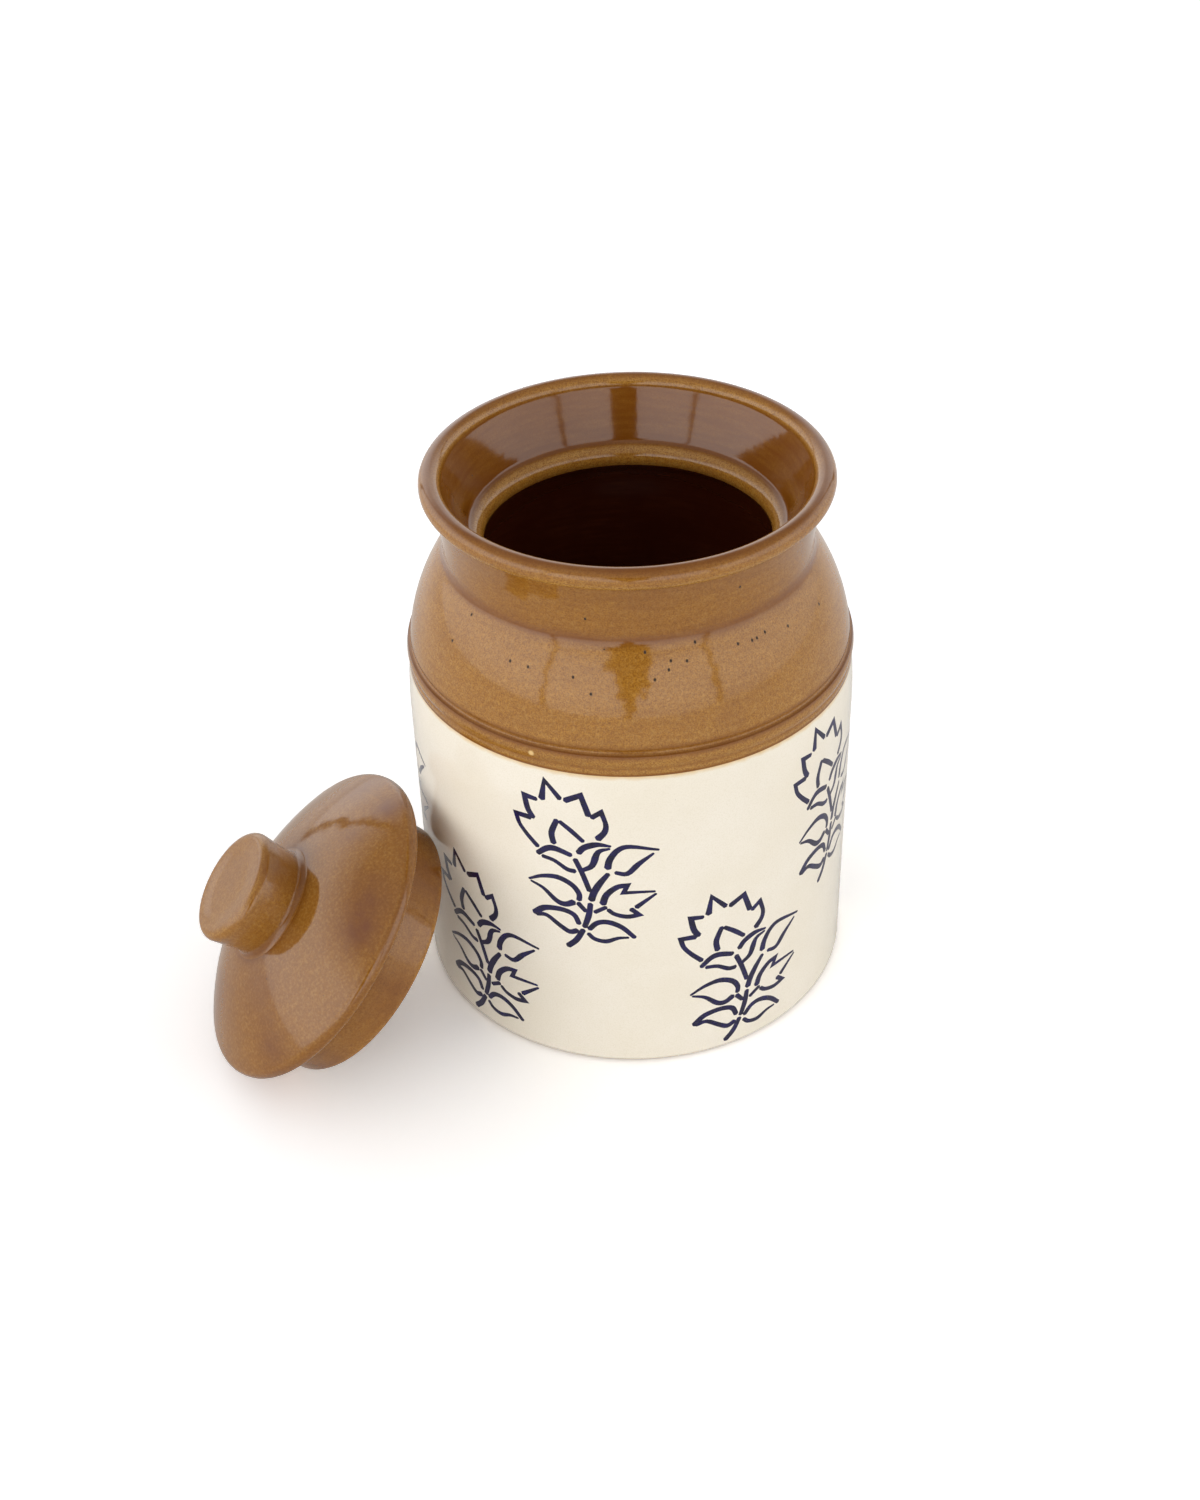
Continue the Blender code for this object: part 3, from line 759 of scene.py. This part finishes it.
def stroke_outline(widths, runs):
    """Closed outline of a stroke of changing width, in the sprig's own plane."""
    line = []
    for run in runs:
        points = line[-1:] + [Vector(point) * SPRIG_HEIGHT / HUNDREDTHS for point in run]
        line = line[:-1] + smooth_run(points)
    lengths = [0.0]
    for here, there in zip(line, line[1:]):
        lengths.append(lengths[-1] + (there - here).length)
    left = []
    right = []
    for index, point in enumerate(line):
        share = lengths[index] / lengths[-1]
        half = float(np.interp(share, STROKE_STATION_SHARES, widths)) * SPRIG_HEIGHT / 2
        back = (point - line[index - 1]).normalized() if index else None
        ahead = (line[index + 1] - point).normalized() if index < len(line) - 1 else None
        back = back or ahead
        ahead = ahead or back
        tangent = (back + ahead).normalized()
        normal = Vector((-tangent.y, tangent.x))
        reach = 1 / max(abs(normal.dot(Vector((-back.y, back.x)))), 1 / TIP_LIMIT_SHARE)
        left.append(point + normal * half * reach)
        right.append(point - normal * half * reach)
        rounding = [(tangent * cos(turn) + normal * sin(turn)) * half * CAP_SHARE
                    for turn in CAP_TURNS]
        if index == 0:
            start_cap = [point - spoke for spoke in rounding]
    end_cap = [line[-1] + spoke for spoke in rounding]
    return start_cap + left + end_cap + right[::-1]


def painted_outlines():
    """Outlines of all strokes on the unrolled wall, as (arc length, height)."""
    shapes = [stroke_outline([STROKE_WIDTH_SHARES[letter] for letter in letters], runs)
              for letters, *runs in SPRIG_STROKE_SHARES]
    outlines = []
    for turns, height in ((UPPER_SPRIG_TURNS, UPPER_FOOT_HEIGHT), (LOWER_SPRIG_TURNS, LOWER_FOOT_HEIGHT)):
        for turn in turns:
            foot = Vector((radians(turn) * BODY_RADIUS, height))
            outlines += [[foot + point for point in shape] for shape in shapes]
    return outlines


def inside_outlines(points, outlines):
    """Whether each point lies inside any outline, by its winding number."""
    found = np.zeros(len(points), dtype=bool)
    for outline in outlines:
        ring = np.array(outline)
        low = ring.min(axis=0)
        high = ring.max(axis=0)
        near = np.where(((points >= low) & (points <= high)).all(axis=1) & ~found)[0]
        if not len(near):
            continue
        spokes = ring[None, :, :] - points[near][:, None, :]
        angles = np.arctan2(spokes[:, :, 1], spokes[:, :, 0])
        turns = np.diff(np.concatenate([angles, angles[:, :1]], axis=1), axis=1)
        turns = (turns + pi) % tau - pi
        found[near] = np.abs(turns.sum(axis=1)) > pi
    return found


def painted_wall(low, high):
    """The pot's outer wall, cut along the strokes' outlines. Returns vertices
    as (turn, height), triangles, and whether each triangle is painted."""
    start = WALL_CUT_TURN - tau
    step = tau / JAR_SEGMENTS
    rows = round((high - low) / WALL_ROW_HEIGHT)
    points = []
    for row in range(rows + 1):
        height = low + (high - low) * row / rows
        shift = step / 2 if row % 2 and row < rows else 0.0
        for column in range(JAR_SEGMENTS + 1):
            turn = start + step * column + (shift if 0 < column < JAR_SEGMENTS else 0.0)
            points.append(Vector((turn * BODY_RADIUS, height)))
    edges = [(first + index, first + index + 1) for first in (0, rows * (JAR_SEGMENTS + 1))
             for index in range(JAR_SEGMENTS)]
    for row in range(rows):
        first = row * (JAR_SEGMENTS + 1)
        edges.append((first, first + JAR_SEGMENTS + 1))
        edges.append((first + JAR_SEGMENTS, first + 2 * JAR_SEGMENTS + 1))
    outlines = painted_outlines()
    for outline in outlines:
        first = len(points)
        points += outline
        edges += [(first + index, first + (index + 1) % len(outline)) for index in range(len(outline))]
    cut = delaunay_2d_cdt(points, edges, [], 0, CUT_TOLERANCE)
    verts = np.array([tuple(vert) for vert in cut[0]])
    triangles = np.array([face for face in cut[2] if len(face) == 3])
    middles = verts[triangles].mean(axis=1)
    painted = inside_outlines(middles, outlines)
    verts[:, 0] /= BODY_RADIUS
    return verts, triangles, painted


def pot_piece(cream, indigo, inside, bare):
    """The cream pot with its sprigs, its brown inside and its bare foot."""
    inner, outer = pot_rest_profile()
    start = WALL_CUT_TURN - tau
    flat, triangles, painted = painted_wall(outer[-1][1], SEAM_HEIGHT)
    radii = np.array([pot_wall_radius(height) for height in flat[:, 1]])
    wall_verts = np.column_stack([radii * np.cos(flat[:, 0]), radii * np.sin(flat[:, 0]), flat[:, 1]])

    inner_verts, inner_faces, _ = turned_shape(inner, JAR_SEGMENTS, start)
    outer_verts, outer_faces, _ = turned_shape(outer, JAR_SEGMENTS, start)
    verts = np.vstack([wall_verts, inner_verts, outer_verts])
    faces = [tuple(triangle) for triangle in triangles.tolist()]
    slots = [INDIGO_SLOT if mark else CREAM_SLOT for mark in painted]
    shift = len(wall_verts)
    faces += [tuple(index + shift for index in face) for face in inner_faces]
    slots += [INSIDE_SLOT] * len(inner_faces)
    shift += len(inner_verts)
    for face in outer_faces:
        faces.append(tuple(index + shift for index in face))
        height = sum(outer_verts[index][2] for index in face) / len(face)
        slots.append(CREAM_SLOT if height > GLAZE_LINE_HEIGHT else BARE_SLOT)
    verts, faces = welded(verts, faces)
    pot = add_piece("jar_pot_glazed", verts, faces, [cream, indigo, inside, bare], slots)
    smooth_wall(pot.data)
    return pot


def smooth_wall(mesh):
    """Gives the wall the normals of a true turned surface, whatever its cuts."""
    normals = np.zeros((len(mesh.loops), 3))
    for face in mesh.polygons:
        corners = [mesh.vertices[index].co for index in face.vertices]
        if min(hypot(spot.x, spot.y) for spot in corners) < SEAM_RADIUS - WELD:
            continue
        if face.center.z < BASE_EDGE_ROUND - WELD or face.normal.z > WALL_RISE_SHARE:
            continue
        for loop, spot in zip(face.loop_indices, corners):
            rise = pot_wall_radius(spot.z - WELD) - pot_wall_radius(spot.z + WELD)
            normals[loop] = Vector((spot.x, spot.y, spot.xy.length * rise / (2 * WELD))).normalized()
    mesh.normals_split_custom_set([tuple(normal) for normal in normals])


def welded(verts, faces):
    """The mesh with vertices that share a place joined into one."""
    keys = np.round(np.asarray(verts) / WELD).astype(np.int64)
    _, first, which = np.unique(keys, axis=0, return_index=True, return_inverse=True)
    which = which.ravel()
    joined = [tuple(dict.fromkeys(int(which[index]) for index in face)) for face in faces]
    return np.asarray(verts)[first], joined


def add_node(tree, kind, inputs=None, **settings):
    """A shader node with its settings, values and links."""
    made = tree.nodes.new("ShaderNode" + kind)
    for name, value in settings.items():
        setattr(made, name, value)
    for key, value in (inputs or {}).items():
        if isinstance(value, bpy.types.NodeSocket):
            tree.links.new(value, made.inputs[key])
        else:
            made.inputs[key].default_value = value
    return made


def sum_up(operation, *values, clamp=False):
    """Output of a Math node on values, of which one at least is a socket."""
    tree = next(value.id_data for value in values if isinstance(value, bpy.types.NodeSocket))
    return add_node(tree, "Math", dict(enumerate(values)), operation=operation, use_clamp=clamp).outputs[0]


def times(*values):
    """The product of two values."""
    return sum_up("MULTIPLY", *values)


def spread(value, low, high, to_low=0.0, to_high=1.0):
    """A value from low to high, mapped to another range and kept in it."""
    limits = {"Value": value, "From Min": low, "From Max": high, "To Min": to_low, "To Max": to_high}
    return add_node(value.id_data, "MapRange", limits).outputs[0]


def blend(share, first, second):
    """The colour a share of the way from the first to the second."""
    return add_node(share.id_data, "Mix", {0: share, 6: first, 7: second}, data_type="RGBA").outputs[2]


def veil(under, over, value, *shares):
    """One colour over another, where a value lies between the first two shares
    and with the strengths of the next two."""
    return blend(spread(value, *shares), under, over)


def speckle(place, size, detail=FINE_DETAIL, stretch=None, seed=0.0):
    """Noise from 0 to 1 with marks of about that size."""
    if stretch:
        both = {0: place, 1: stretch}
        place = add_node(place.id_data, "VectorMath", both, operation="MULTIPLY").outputs[0]
    marks = {"Vector": place, "W": seed, "Scale": 1 / size, "Detail": detail}
    return add_node(place.id_data, "TexNoise", marks, noise_dimensions="4D").outputs[0]


def pinholes(place, spacing, size):
    """1 in small round spots that lie about that far apart."""
    cells = add_node(place.id_data, "TexVoronoi", {"Vector": place, "Scale": 1 / spacing})
    spot = spread(cells.outputs["Distance"], size / spacing, size / spacing * PIN_CORE_SHARE)
    lottery = add_node(place.id_data, "SeparateColor", {0: cells.outputs["Color"]}).outputs[0]
    return times(spot, sum_up("LESS_THAN", lottery, PIN_KEPT_SHARE))


def spots_at(place, places, size):
    """1 in small round spots at given turns and heights, on any radius."""
    turned = add_node(place.id_data, "SeparateXYZ", {0: place})
    turn = sum_up("ARCTAN2", turned.outputs[1], turned.outputs[0])
    height = turned.outputs[2]
    total = None
    for spot_turn, spot_height in places:
        across = times(sum_up("SUBTRACT", turn, radians(spot_turn)), SHOULDER_RADIUS)
        up = sum_up("SUBTRACT", height, spot_height * MM)
        gap = sum_up("SQRT", sum_up("ADD", times(across, across), times(up, up)))
        spot = spread(gap, size, size / 2)
        total = spot if total is None else sum_up("MAXIMUM", total, spot)
    return total


def glaze_surface(place, ripple_depth=0.0):
    """Normal of a fired glaze: fine orange peel over ripples and slow waves."""
    normal = None
    for size, detail, depth in ((WAVE_SIZE, WAVE_DETAIL, WAVE_DEPTH),
                                (RIPPLE_SIZE, WAVE_DETAIL, ripple_depth),
                                (PEEL_SIZE, FINE_DETAIL, PEEL_DEPTH)):
        if depth:
            relief = {"Height": speckle(place, size, detail), "Strength": 1.0, "Distance": depth}
            if normal:
                relief["Normal"] = normal
            normal = add_node(place.id_data, "Bump", relief).outputs[0]
    return normal


def new_finish(name):
    """A node material, and in it the place on the piece."""
    material = bpy.data.materials.new(name)
    material.use_nodes = True
    place = add_node(material.node_tree, "Attribute", attribute_name="own_place").outputs["Vector"]
    return material, place


def finish(material, colour, roughness, normal):
    """The material with its worked-out colour, roughness and normal."""
    tree = material.node_tree
    shader = tree.nodes["Principled BSDF"]
    shader.inputs["IOR"].default_value = GLAZE_IOR
    for name, value in (("Base Color", colour), ("Roughness", roughness), ("Normal", normal)):
        tree.links.new(value, shader.inputs[name])
    return material


def brown_glaze(name, grain_share, depth_share, seed, specks=False):
    """Amber brown glaze: grainy, pale where it runs thin and where a highlight is painted, deep where it
    pools and where shade is painted.
    """
    material, place = new_finish(name)
    amber = Vector(AMBER).lerp(Vector(AMBER_DEEP), depth_share)
    grain, fleck, streak, cloud, blotch = (
        speckle(place, *noise, seed=seed + index) for index, noise in enumerate(BROWN_NOISES))
    thin, russet = (add_node(place.id_data, "Attribute", attribute_name=mark).outputs["Fac"]
                    for mark in ("glaze_thinness", "russet"))
    thin = times(thin, spread(streak, *NOISE_SHARES, *THIN_STREAK_SHARES))
    russet = times(russet, spread(blotch, *RUSSET_SHARES))
    faint = spread(cloud, *CLOUD_RUSSET_SHARES)
    # Pale for thin glaze and for painted highlights, deep for pooled glaze and for painted shade
    colour = veil(amber, AMBER_PALE, thin, *PALE_SHARES)
    colour = veil(colour, AMBER_GRAIN, grain, *GRAIN_SHARES, grain_share, 0.0)
    colour = veil(colour, AMBER_PALE, fleck, *FLECK_SHARES, 0.0, grain_share * FLECK_STRENGTH_SHARE)
    colour = veil(colour, AMBER_DEEP, streak, *STREAK_SHARES)
    # Russet blotches, some of them painted shade, and faint russet clouds
    colour = blend(sum_up("MAXIMUM", russet, faint, clamp=True), colour, RUSSET)
    colour = veil(colour, AMBER_DEEP, thin, *DEEP_SHARES)
    pin = pinholes(place, PIN_SPACING, PIN_SIZE)
    if specks:
        pin = sum_up("MAXIMUM", pin, spots_at(place, SPECK_PLACES, SPECK_SIZE))
        colour = blend(spots_at(place, [CREAM_SPOT], CREAM_SPOT_SIZE), colour, CREAM_STAINED)
    colour = blend(times(pin, PIN_STRENGTH_SHARE), colour, SPECK_BROWN)
    roughness = spread(cloud, *NOISE_SHARES, *BROWN_ROUGHNESS)
    roughness = sum_up("MAXIMUM", roughness, times(pin, SPECK_ROUGHNESS))
    return finish(material, colour, roughness, glaze_surface(place, RIPPLE_DEPTH))


def inside_glaze():
    """Dark red-brown glaze of the jar's inside."""
    material, place = new_finish("inside_glaze")
    cloud = speckle(place, CLOUD_SIZE, CLOUD_DETAIL)
    streak = speckle(place, STREAK_SIZE, stretch=STREAK_STRETCH_SHARES)
    colour = veil(INSIDE_BROWN, INSIDE_DEEP, cloud, *MOTTLE_SHARES)
    colour = veil(colour, INSIDE_DEEP, streak, *INSIDE_STREAK_SHARES)
    roughness = spread(cloud, *NOISE_SHARES, *INSIDE_ROUGHNESS)
    return finish(material, colour, roughness, glaze_surface(place))


def cream_glaze():
    """Warm white glaze, faintly mottled, with a few grey specks."""
    material, place = new_finish("cream_glaze")
    cloud = speckle(place, CREAM_CLOUD_SIZE, CLOUD_DETAIL)
    grain = speckle(place, GRAIN_SIZE)
    colour = veil(CREAM_WARM, CREAM_LIGHT, cloud, *MOTTLE_SHARES)
    colour = veil(colour, CREAM_GRAIN, grain, *CREAM_GRAIN_SHARES)
    height = add_node(place.id_data, "SeparateXYZ", {0: place}).outputs[2]
    ragged = times(speckle(place, FRINGE_RAGGED_SIZE), FRINGE_HEIGHT)
    edge = SEAM_HEIGHT - LAP_HEIGHT
    colour = veil(colour, CREAM_STAINED, sum_up("ADD", height, ragged),
                  edge - FRINGE_HEIGHT / 2, edge + FRINGE_HEIGHT / 2, 0.0, FRINGE_STRENGTH_SHARE)
    pin = pinholes(place, CREAM_PIN_SPACING, CREAM_PIN_SIZE)
    colour = blend(times(pin, CREAM_PIN_STRENGTH_SHARE), colour, CREAM_SPECK)
    roughness = spread(cloud, *NOISE_SHARES, *CREAM_ROUGHNESS)
    return finish(material, colour, roughness, glaze_surface(place))


def indigo_paint():
    """Indigo under the same glaze, bluer where the paint is thin."""
    material, place = new_finish("indigo_paint")
    load = speckle(place, PAINT_SIZE, CLOUD_DETAIL)
    colour = veil(INDIGO_DEEP, INDIGO_THIN, load, *COARSE_SHARES)
    cloud = speckle(place, CREAM_CLOUD_SIZE, CLOUD_DETAIL)
    roughness = spread(cloud, *NOISE_SHARES, *CREAM_ROUGHNESS)
    return finish(material, colour, roughness, glaze_surface(place))


def biscuit():
    """Bare fired stoneware, matt and gritty."""
    material, place = new_finish("bare_stoneware")
    grit = speckle(place, GRIT_SIZE, GRIT_DETAIL)
    cloud = speckle(place, CLOUD_SIZE, CLOUD_DETAIL)
    colour = veil(BISCUIT_DARK, BISCUIT_LIGHT, grit, *COARSE_SHARES)
    colour = veil(colour, BISCUIT_DARK, cloud, *BARE_CLOUD_SHARES)
    bump = add_node(place.id_data, "Bump", {"Height": grit, "Strength": 1.0, "Distance": GRIT_DEPTH})
    roughness = spread(grit, *NOISE_SHARES, *BARE_ROUGHNESS)
    return finish(material, colour, roughness, bump.outputs[0])


def inside_or_out(here, there):
    """Material slot of a run of the shoulder's profile: 1 below the mouth's rib
    on the inside, where the profile runs down."""
    below_rib = here[1] < LEDGE_HEIGHT - RIB_DROP - RIB_ROUND / 2
    return int(below_rib and there[1] < here[1])


def bare_rim(here, there):
    """Material slot of a run of the collar's profile: 1 on its lowest edge."""
    return int(max(here[1], there[1]) < BARE_RIM_HEIGHT - COLLAR_DEPTH)


def lid_place():
    """Where the lid leans: the middle of the disc's underside and its turn."""
    axis = Vector(frame["joints"][0]["axis"]).normalized()
    spots = np.array([vert.co for vert in frame["nodes"]["lid_dome"].data.vertices])
    heights = spots @ np.array(axis)
    underside = spots[heights < heights.min() + LEVEL_TOLERANCE]
    middle = Vector(np.unique(np.round(underside, LEVEL_DIGITS), axis=0).mean(axis=0))
    turn = Matrix.Rotation(atan2(axis.y, axis.x), 4, "Z") @ Matrix.Rotation(acos(axis.z), 4, "Y")
    return Matrix.Translation(middle) @ turn


def add_camera():
    """The camera at the photograph's viewing angle."""
    data = bpy.data.cameras.new("camera")
    data.sensor_width = CAMERA_SENSOR
    data.lens = CAMERA_LENS
    data.clip_start = CAMERA_NEAR
    data.clip_end = CAMERA_FAR
    ahead = Vector((sin(CAMERA_YAW) * cos(CAMERA_PITCH),
                    cos(CAMERA_YAW) * cos(CAMERA_PITCH), -sin(CAMERA_PITCH)))
    level = Vector((cos(CAMERA_YAW), -sin(CAMERA_YAW), 0.0))
    upright = level.cross(ahead)
    across = cos(CAMERA_ROLL) * level + sin(CAMERA_ROLL) * upright
    up = cos(CAMERA_ROLL) * upright - sin(CAMERA_ROLL) * level
    camera = add_object("camera", data)
    turned = Matrix((across, up, -ahead)).transposed().to_4x4()
    camera.matrix_world = Matrix.Translation(CAMERA_PLACE) @ turned
    bpy.context.scene.camera = camera


def add_floor():
    """A plain pale sheet, which shows white to the camera and keeps shadows."""
    material = bpy.data.materials.new("floor_white")
    material.use_nodes = True
    tree = material.node_tree
    tree.nodes.clear()
    place = add_node(tree, "TexCoord").outputs["Object"]
    away = add_node(tree, "VectorMath", {0: place}, operation="LENGTH").outputs["Value"]
    # Painted shade: the mirrored sheet darkens towards the jar
    mirrored_colour = veil(FLOOR_NEAR_SHADE_COLOUR, FLOOR_FAR_COLOUR, away, *FLOOR_NEAR_REACH)
    sheet, mirrored, seen = (add_node(tree, "BsdfDiffuse", {"Color": colour}).outputs[0]
                             for colour in (FLOOR_COLOUR, mirrored_colour, FLOOR_SEEN_COLOUR))
    path = add_node(tree, "LightPath")
    gloss = sum_up("MAXIMUM", path.outputs["Is Glossy Ray"], path.outputs["Is Transmission Ray"])
    lit = add_node(tree, "MixShader", {0: gloss, 1: sheet, 2: mirrored}).outputs[0]
    shown = add_node(tree, "MixShader", {0: path.outputs["Is Camera Ray"], 1: lit, 2: seen})
    add_node(tree, "OutputMaterial", {0: shown.outputs[0]})
    mesh = bpy.data.meshes.new("floor")
    corners = [(x * FLOOR_REACH, y * FLOOR_REACH, 0) for x, y in ((-1, -1), (1, -1), (1, 1), (-1, 1))]
    mesh.from_pydata(corners, [], [(0, 1, 2, 3)])
    mesh.materials.append(material)
    floor = add_object("floor", mesh)


def near(value, middle, reach, softness):
    """1 where a value lies within reach of the middle, softly 0 beyond."""
    gap = sum_up("ABSOLUTE", sum_up("SUBTRACT", value, middle))
    limit = add_node(value.id_data, "Math", {0: reach, 1: softness}, operation="ADD").outputs[0]
    return spread(gap, reach, limit, 1.0, 0.0)


def add_world():
    """White panels round the object, darker in the seams between them, behind
    the lens and overhead. The camera itself sees plain white."""
    world = bpy.data.worlds.new("studio")
    world.use_nodes = True
    tree = world.node_tree
    tree.nodes.clear()
    heading = add_node(tree, "TexCoord").outputs["Generated"]
    spot = add_node(tree, "SeparateXYZ", {0: heading})
    turn = sum_up("ARCTAN2", spot.outputs[0], times(spot.outputs[1], -1.0))
    side = sum_up("ABSOLUTE", turn)
    rise = sum_up("ARCSINE", spot.outputs[2])

    strength = spread(turn, -SEAM_TURNS[0], SEAM_TURNS[0], PANEL_LEFT_STRENGTH, PANEL_RIGHT_STRENGTH)
    strength = times(strength, spread(rise, *PANEL_TOP, 1.0, CEILING_SHARE))
    strength = times(strength, spread(rise, *PANEL_FOOT, PANEL_FOOT_SHARE, 1.0))
    strength = times(strength, spread(side, *BACK_TURNS, 1.0, BACK_SHARE))

    noise = {"Vector": heading, "Scale": SEAM_NOISE_SCALE, "Detail": FINE_DETAIL}
    ragged = add_node(tree, "TexNoise", noise).outputs[0]
    ragged = sum_up("SUBTRACT", ragged, NOISE_MIDDLE_SHARE)
    wavy = sum_up("ADD", side, times(ragged, SEAM_WANDER))
    seams = [near(wavy, seam, SEAM_REACH, SEAM_SOFTNESS) for seam in SEAM_TURNS]
    fade = spread(rise, *SEAM_TOP, SEAM_DARKNESS_SHARE, 0.0)
    seam = times(sum_up("MAXIMUM", *seams), fade)

    width = sum_up("ADD", spread(rise, 0.0, LENS_GAP_RISE, *LENS_GAP), times(ragged, LENS_GAP_ROUGHNESS))
    fade = spread(rise, *LENS_GAP_TOP, 1.0, 0.0)
    lens = times(near(turn, 0.0, width, SEAM_SOFTNESS), fade)
    dark = sum_up("MAXIMUM", seam, lens)
    strength = times(strength, sum_up("SUBTRACT", 1.0, dark))

    seen = add_node(tree, "LightPath").outputs["Is Camera Ray"]
    panels = add_node(tree, "Background", {"Color": WHITE, "Strength": strength})
    white = add_node(tree, "Background", {"Color": WHITE, "Strength": 1.0})
    both = add_node(tree, "MixShader", {0: seen, 1: panels.outputs[0], 2: white.outputs[0]})
    add_node(tree, "OutputWorld", {0: both.outputs[0]})
    bpy.context.scene.world = world
    bpy.context.scene.view_settings.view_transform = "Standard"


def dress(piece, body, node):
    """Puts a piece in the place of its CAD node."""
    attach(piece, body)
    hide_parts(node)


def main():
    """Builds the jar's and the lid's pieces and the studio round them."""
    bare = biscuit()
    inside = inside_glaze()
    brown = brown_glaze("brown_glaze", *JAR_FINISH, specks=True)

    pot = pot_piece(cream_glaze(), indigo_paint(), inside, bare)
    dress(pot, "jar", "jar_pot")
    shoulder = turned_piece("jar_shoulder_and_neck_glazed", shoulder_and_neck_profile(),
                            shoulder_and_neck_marks(), JAR_SEGMENTS, [brown, inside], inside_or_out)
    dress(shoulder, "jar", "jar_shoulder_and_neck")

    place = lid_place()
    for node, slot, profile, marks, segments, shares, pick, blotches in (
            ("lid_dome", "lid_brown_glaze", dome_profile(), dome_marks(),
             LID_SEGMENTS, LID_FINISH, None, DOME_BLOTCHES),
            ("lid_collar", "collar_brown_glaze", collar_profile(), collar_marks(),
             LID_SEGMENTS, COLLAR_FINISH, bare_rim, COLLAR_BLOTCHES),
            ("lid_knob", "knob_brown_glaze", knob_profile(), knob_marks(),
             KNOB_SEGMENTS, KNOB_FINISH, None, KNOB_BLOTCHES)):
        glaze = brown_glaze(slot, *shares)
        materials = [glaze, bare] if pick else [glaze]
        piece = turned_piece(node + "_glazed", profile, marks, segments, materials, pick, place, blotches)
        dress(piece, "lid", node)

    add_camera()
    add_floor()
    add_world()


main()
